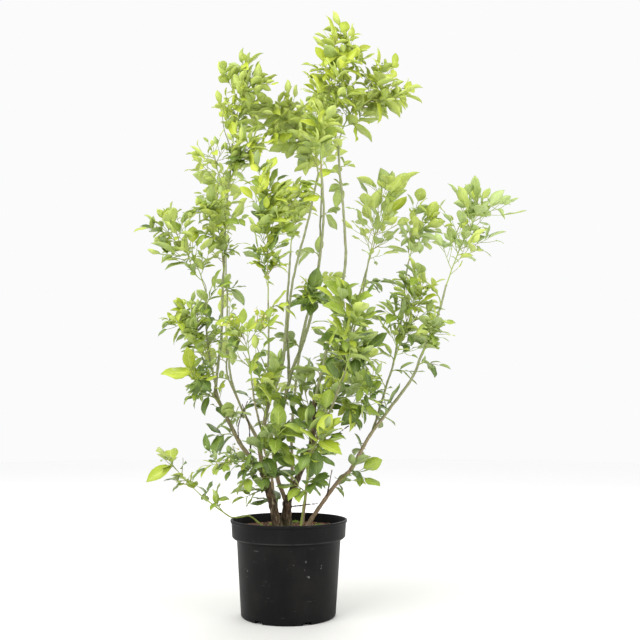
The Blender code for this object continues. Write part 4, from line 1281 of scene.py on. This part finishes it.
def scatter_chips():
    """Chips of bark and fibre strewn over the compost, in three browns."""
    rng = random.Random(5)
    shapes = [chip_shape(rng) for _ in range(CHIP_FORMS)]
    joined = [Joined() for _ in CHIP_BROWNS]
    edge = inner_radius(COMPOST_TOP) - CHIP_MARGIN
    for number in range(CHIPS):
        radius = edge * math.sqrt(rng.random())
        turn = rng.uniform(0.0, math.tau)
        x, y = radius * math.cos(turn), radius * math.sin(turn)
        length = rng.triangular(*CHIP_LENGTHS, CHIP_LENGTHS[0])
        heading = Vector([rng.uniform(-most, most) for most in (1, 1, CHIP_TILT)]).normalized()
        up = Vector((rng.uniform(-CHIP_LEAN, CHIP_LEAN), rng.uniform(-CHIP_LEAN, CHIP_LEAN), 1.0))
        size = (length * rng.uniform(*CHIP_WIDTHS), length, length * rng.uniform(*CHIP_HEIGHTS))
        group = joined[0 if number % 5 < 3 else 1 if number % 5 == 3 else 2]
        base = (x, y, compost_height(x, y) + size[2] * CHIP_SINK)
        group.add(rng.choice(shapes), base, axes_along(heading, up), size)
    for (name, colour, edge_colour), group in zip(CHIP_BROWNS, joined):
        dress(name, group.mesh(name), [chip_bark(name, colour, edge_colour)])


def moss_blade():
    """One pointed blade of moss of unit length."""
    bm = bmesh.new()
    bmesh.ops.create_cone(bm, segments=3, radius1=0.16, radius2=0.0, depth=1.0, cap_ends=True)
    for vert in bm.verts:
        vert.co = (vert.co.x, vert.co.z + 0.5, vert.co.y)
    bmesh.ops.recalc_face_normals(bm, faces=bm.faces)
    return shape_from(bm)


def plant_moss():
    """Tufts of moss between the feet of the canes."""
    rng = random.Random(9)
    blade = moss_blade()
    moss = Joined()
    for tuft_x, tuft_y in MOSS_TUFTS:
        spread = MOSS_SPREAD * rng.uniform(*MOSS_SPREADS)
        for _ in range(MOSS_BLADES):
            out = Vector((rng.gauss(0, 0.5), rng.gauss(0, 0.5), 0.0))
            x, y = tuft_x + out.x * spread, tuft_y + out.y * spread
            heading = (out * MOSS_LEAN + UP).normalized()
            length = MOSS_BLADE * rng.uniform(*MOSS_LENGTHS) * max(1.15 - out.length * 0.45, 0.4)
            base = (x, y, compost_height(x, y) - MOSS_SINK)
            moss.add(blade, base, axes_along(heading, Vector((0, -1, 0))), (length, length, length))
    dress("moss_tufts", moss.mesh("moss_tufts"), [patchy("moss_green")])


# Stage and camera
CAMERA_PLACE = (0.018, -1.969, 0.453)
CAMERA_PITCH = math.radians(7.27)
CAMERA_YAW = math.radians(1.65)
CAMERA_LENS = 45.0
CAMERA_SENSOR = 36.0
FLOOR_RADIUS = 8.0
FLOOR_STEPS = 64
# Painted light on the floor: painted shade near the pot, fading to a paler painted light far off, between
# these distances from the middle.
FLOOR_PAINTED_FADE = (0.2, 2.2)
FLOOR_NEAR_PAINTED_SHADE = tone(214, 213, 210)
FLOOR_FAR_PAINTED_LIGHT = tone(251, 251, 250)
ROOM_LIGHT = 1.0
Lamp = namedtuple("Lamp", "name place size watts")
LAMPS = (Lamp("window", (-1.7, -1.9, 2.3), 2.2, 80.0), Lamp("fill", (2.2, -1.4, 1.6), 2.2, 38.0),
         Lamp("back", (0.4, 2.2, 2.4), 2.0, 40.0))
LAMP_AIM = Vector((0.0, 0.0, 0.7))


def set_stage():
    """A pale floor with painted shade near the pot and painted light far off, a pale room and soft lamps.
    """
    bpy.context.scene.view_settings.view_transform = "Standard"
    bm = bmesh.new()
    bmesh.ops.create_circle(bm, cap_ends=True, segments=FLOOR_STEPS, radius=FLOOR_RADIUS)
    floor = placed("floor", mesh_from("floor", bm))
    paint = Finish("floor_painted_light", {"Roughness": 0.8})
    # The floor's painted shade near the pot and painted light far off.
    away = paint.node("ShaderNodeVectorMath", {"operation": "LENGTH"}, {0: paint.place()}, "Value")
    paint.feed("Base Color", paint.mix(paint.step(away, *FLOOR_PAINTED_FADE), FLOOR_NEAR_PAINTED_SHADE, FLOOR_FAR_PAINTED_LIGHT))
    floor.data.materials.append(paint.material)
    world = bpy.data.worlds.new("room")
    world.use_nodes = True
    background = world.node_tree.nodes["Background"]
    background.inputs["Color"].default_value = tone(251, 251, 252)
    background.inputs["Strength"].default_value = ROOM_LIGHT
    bpy.context.scene.world = world
    for lamp in LAMPS:
        light = bpy.data.lights.new(lamp.name, "AREA")
        light.size = lamp.size
        light.energy = lamp.watts
        hung = placed(lamp.name, light)
        hung.location = lamp.place
        hung.rotation_euler = (LAMP_AIM - Vector(lamp.place)).to_track_quat("-Z", "Y").to_euler()


def set_camera():
    """The camera at the photograph's angle."""
    data = bpy.data.cameras.new("camera")
    data.lens = CAMERA_LENS
    data.sensor_width = CAMERA_SENSOR
    camera = placed("camera", data)
    camera.location = CAMERA_PLACE
    camera.rotation_euler = (math.pi / 2 + CAMERA_PITCH, 0.0, -CAMERA_YAW)
    bpy.context.scene.camera = camera


set_stage()
set_camera()
hang_clusters(grow_foliage(make_limbs()))
make_pot()
make_compost()
scatter_chips()
plant_moss()
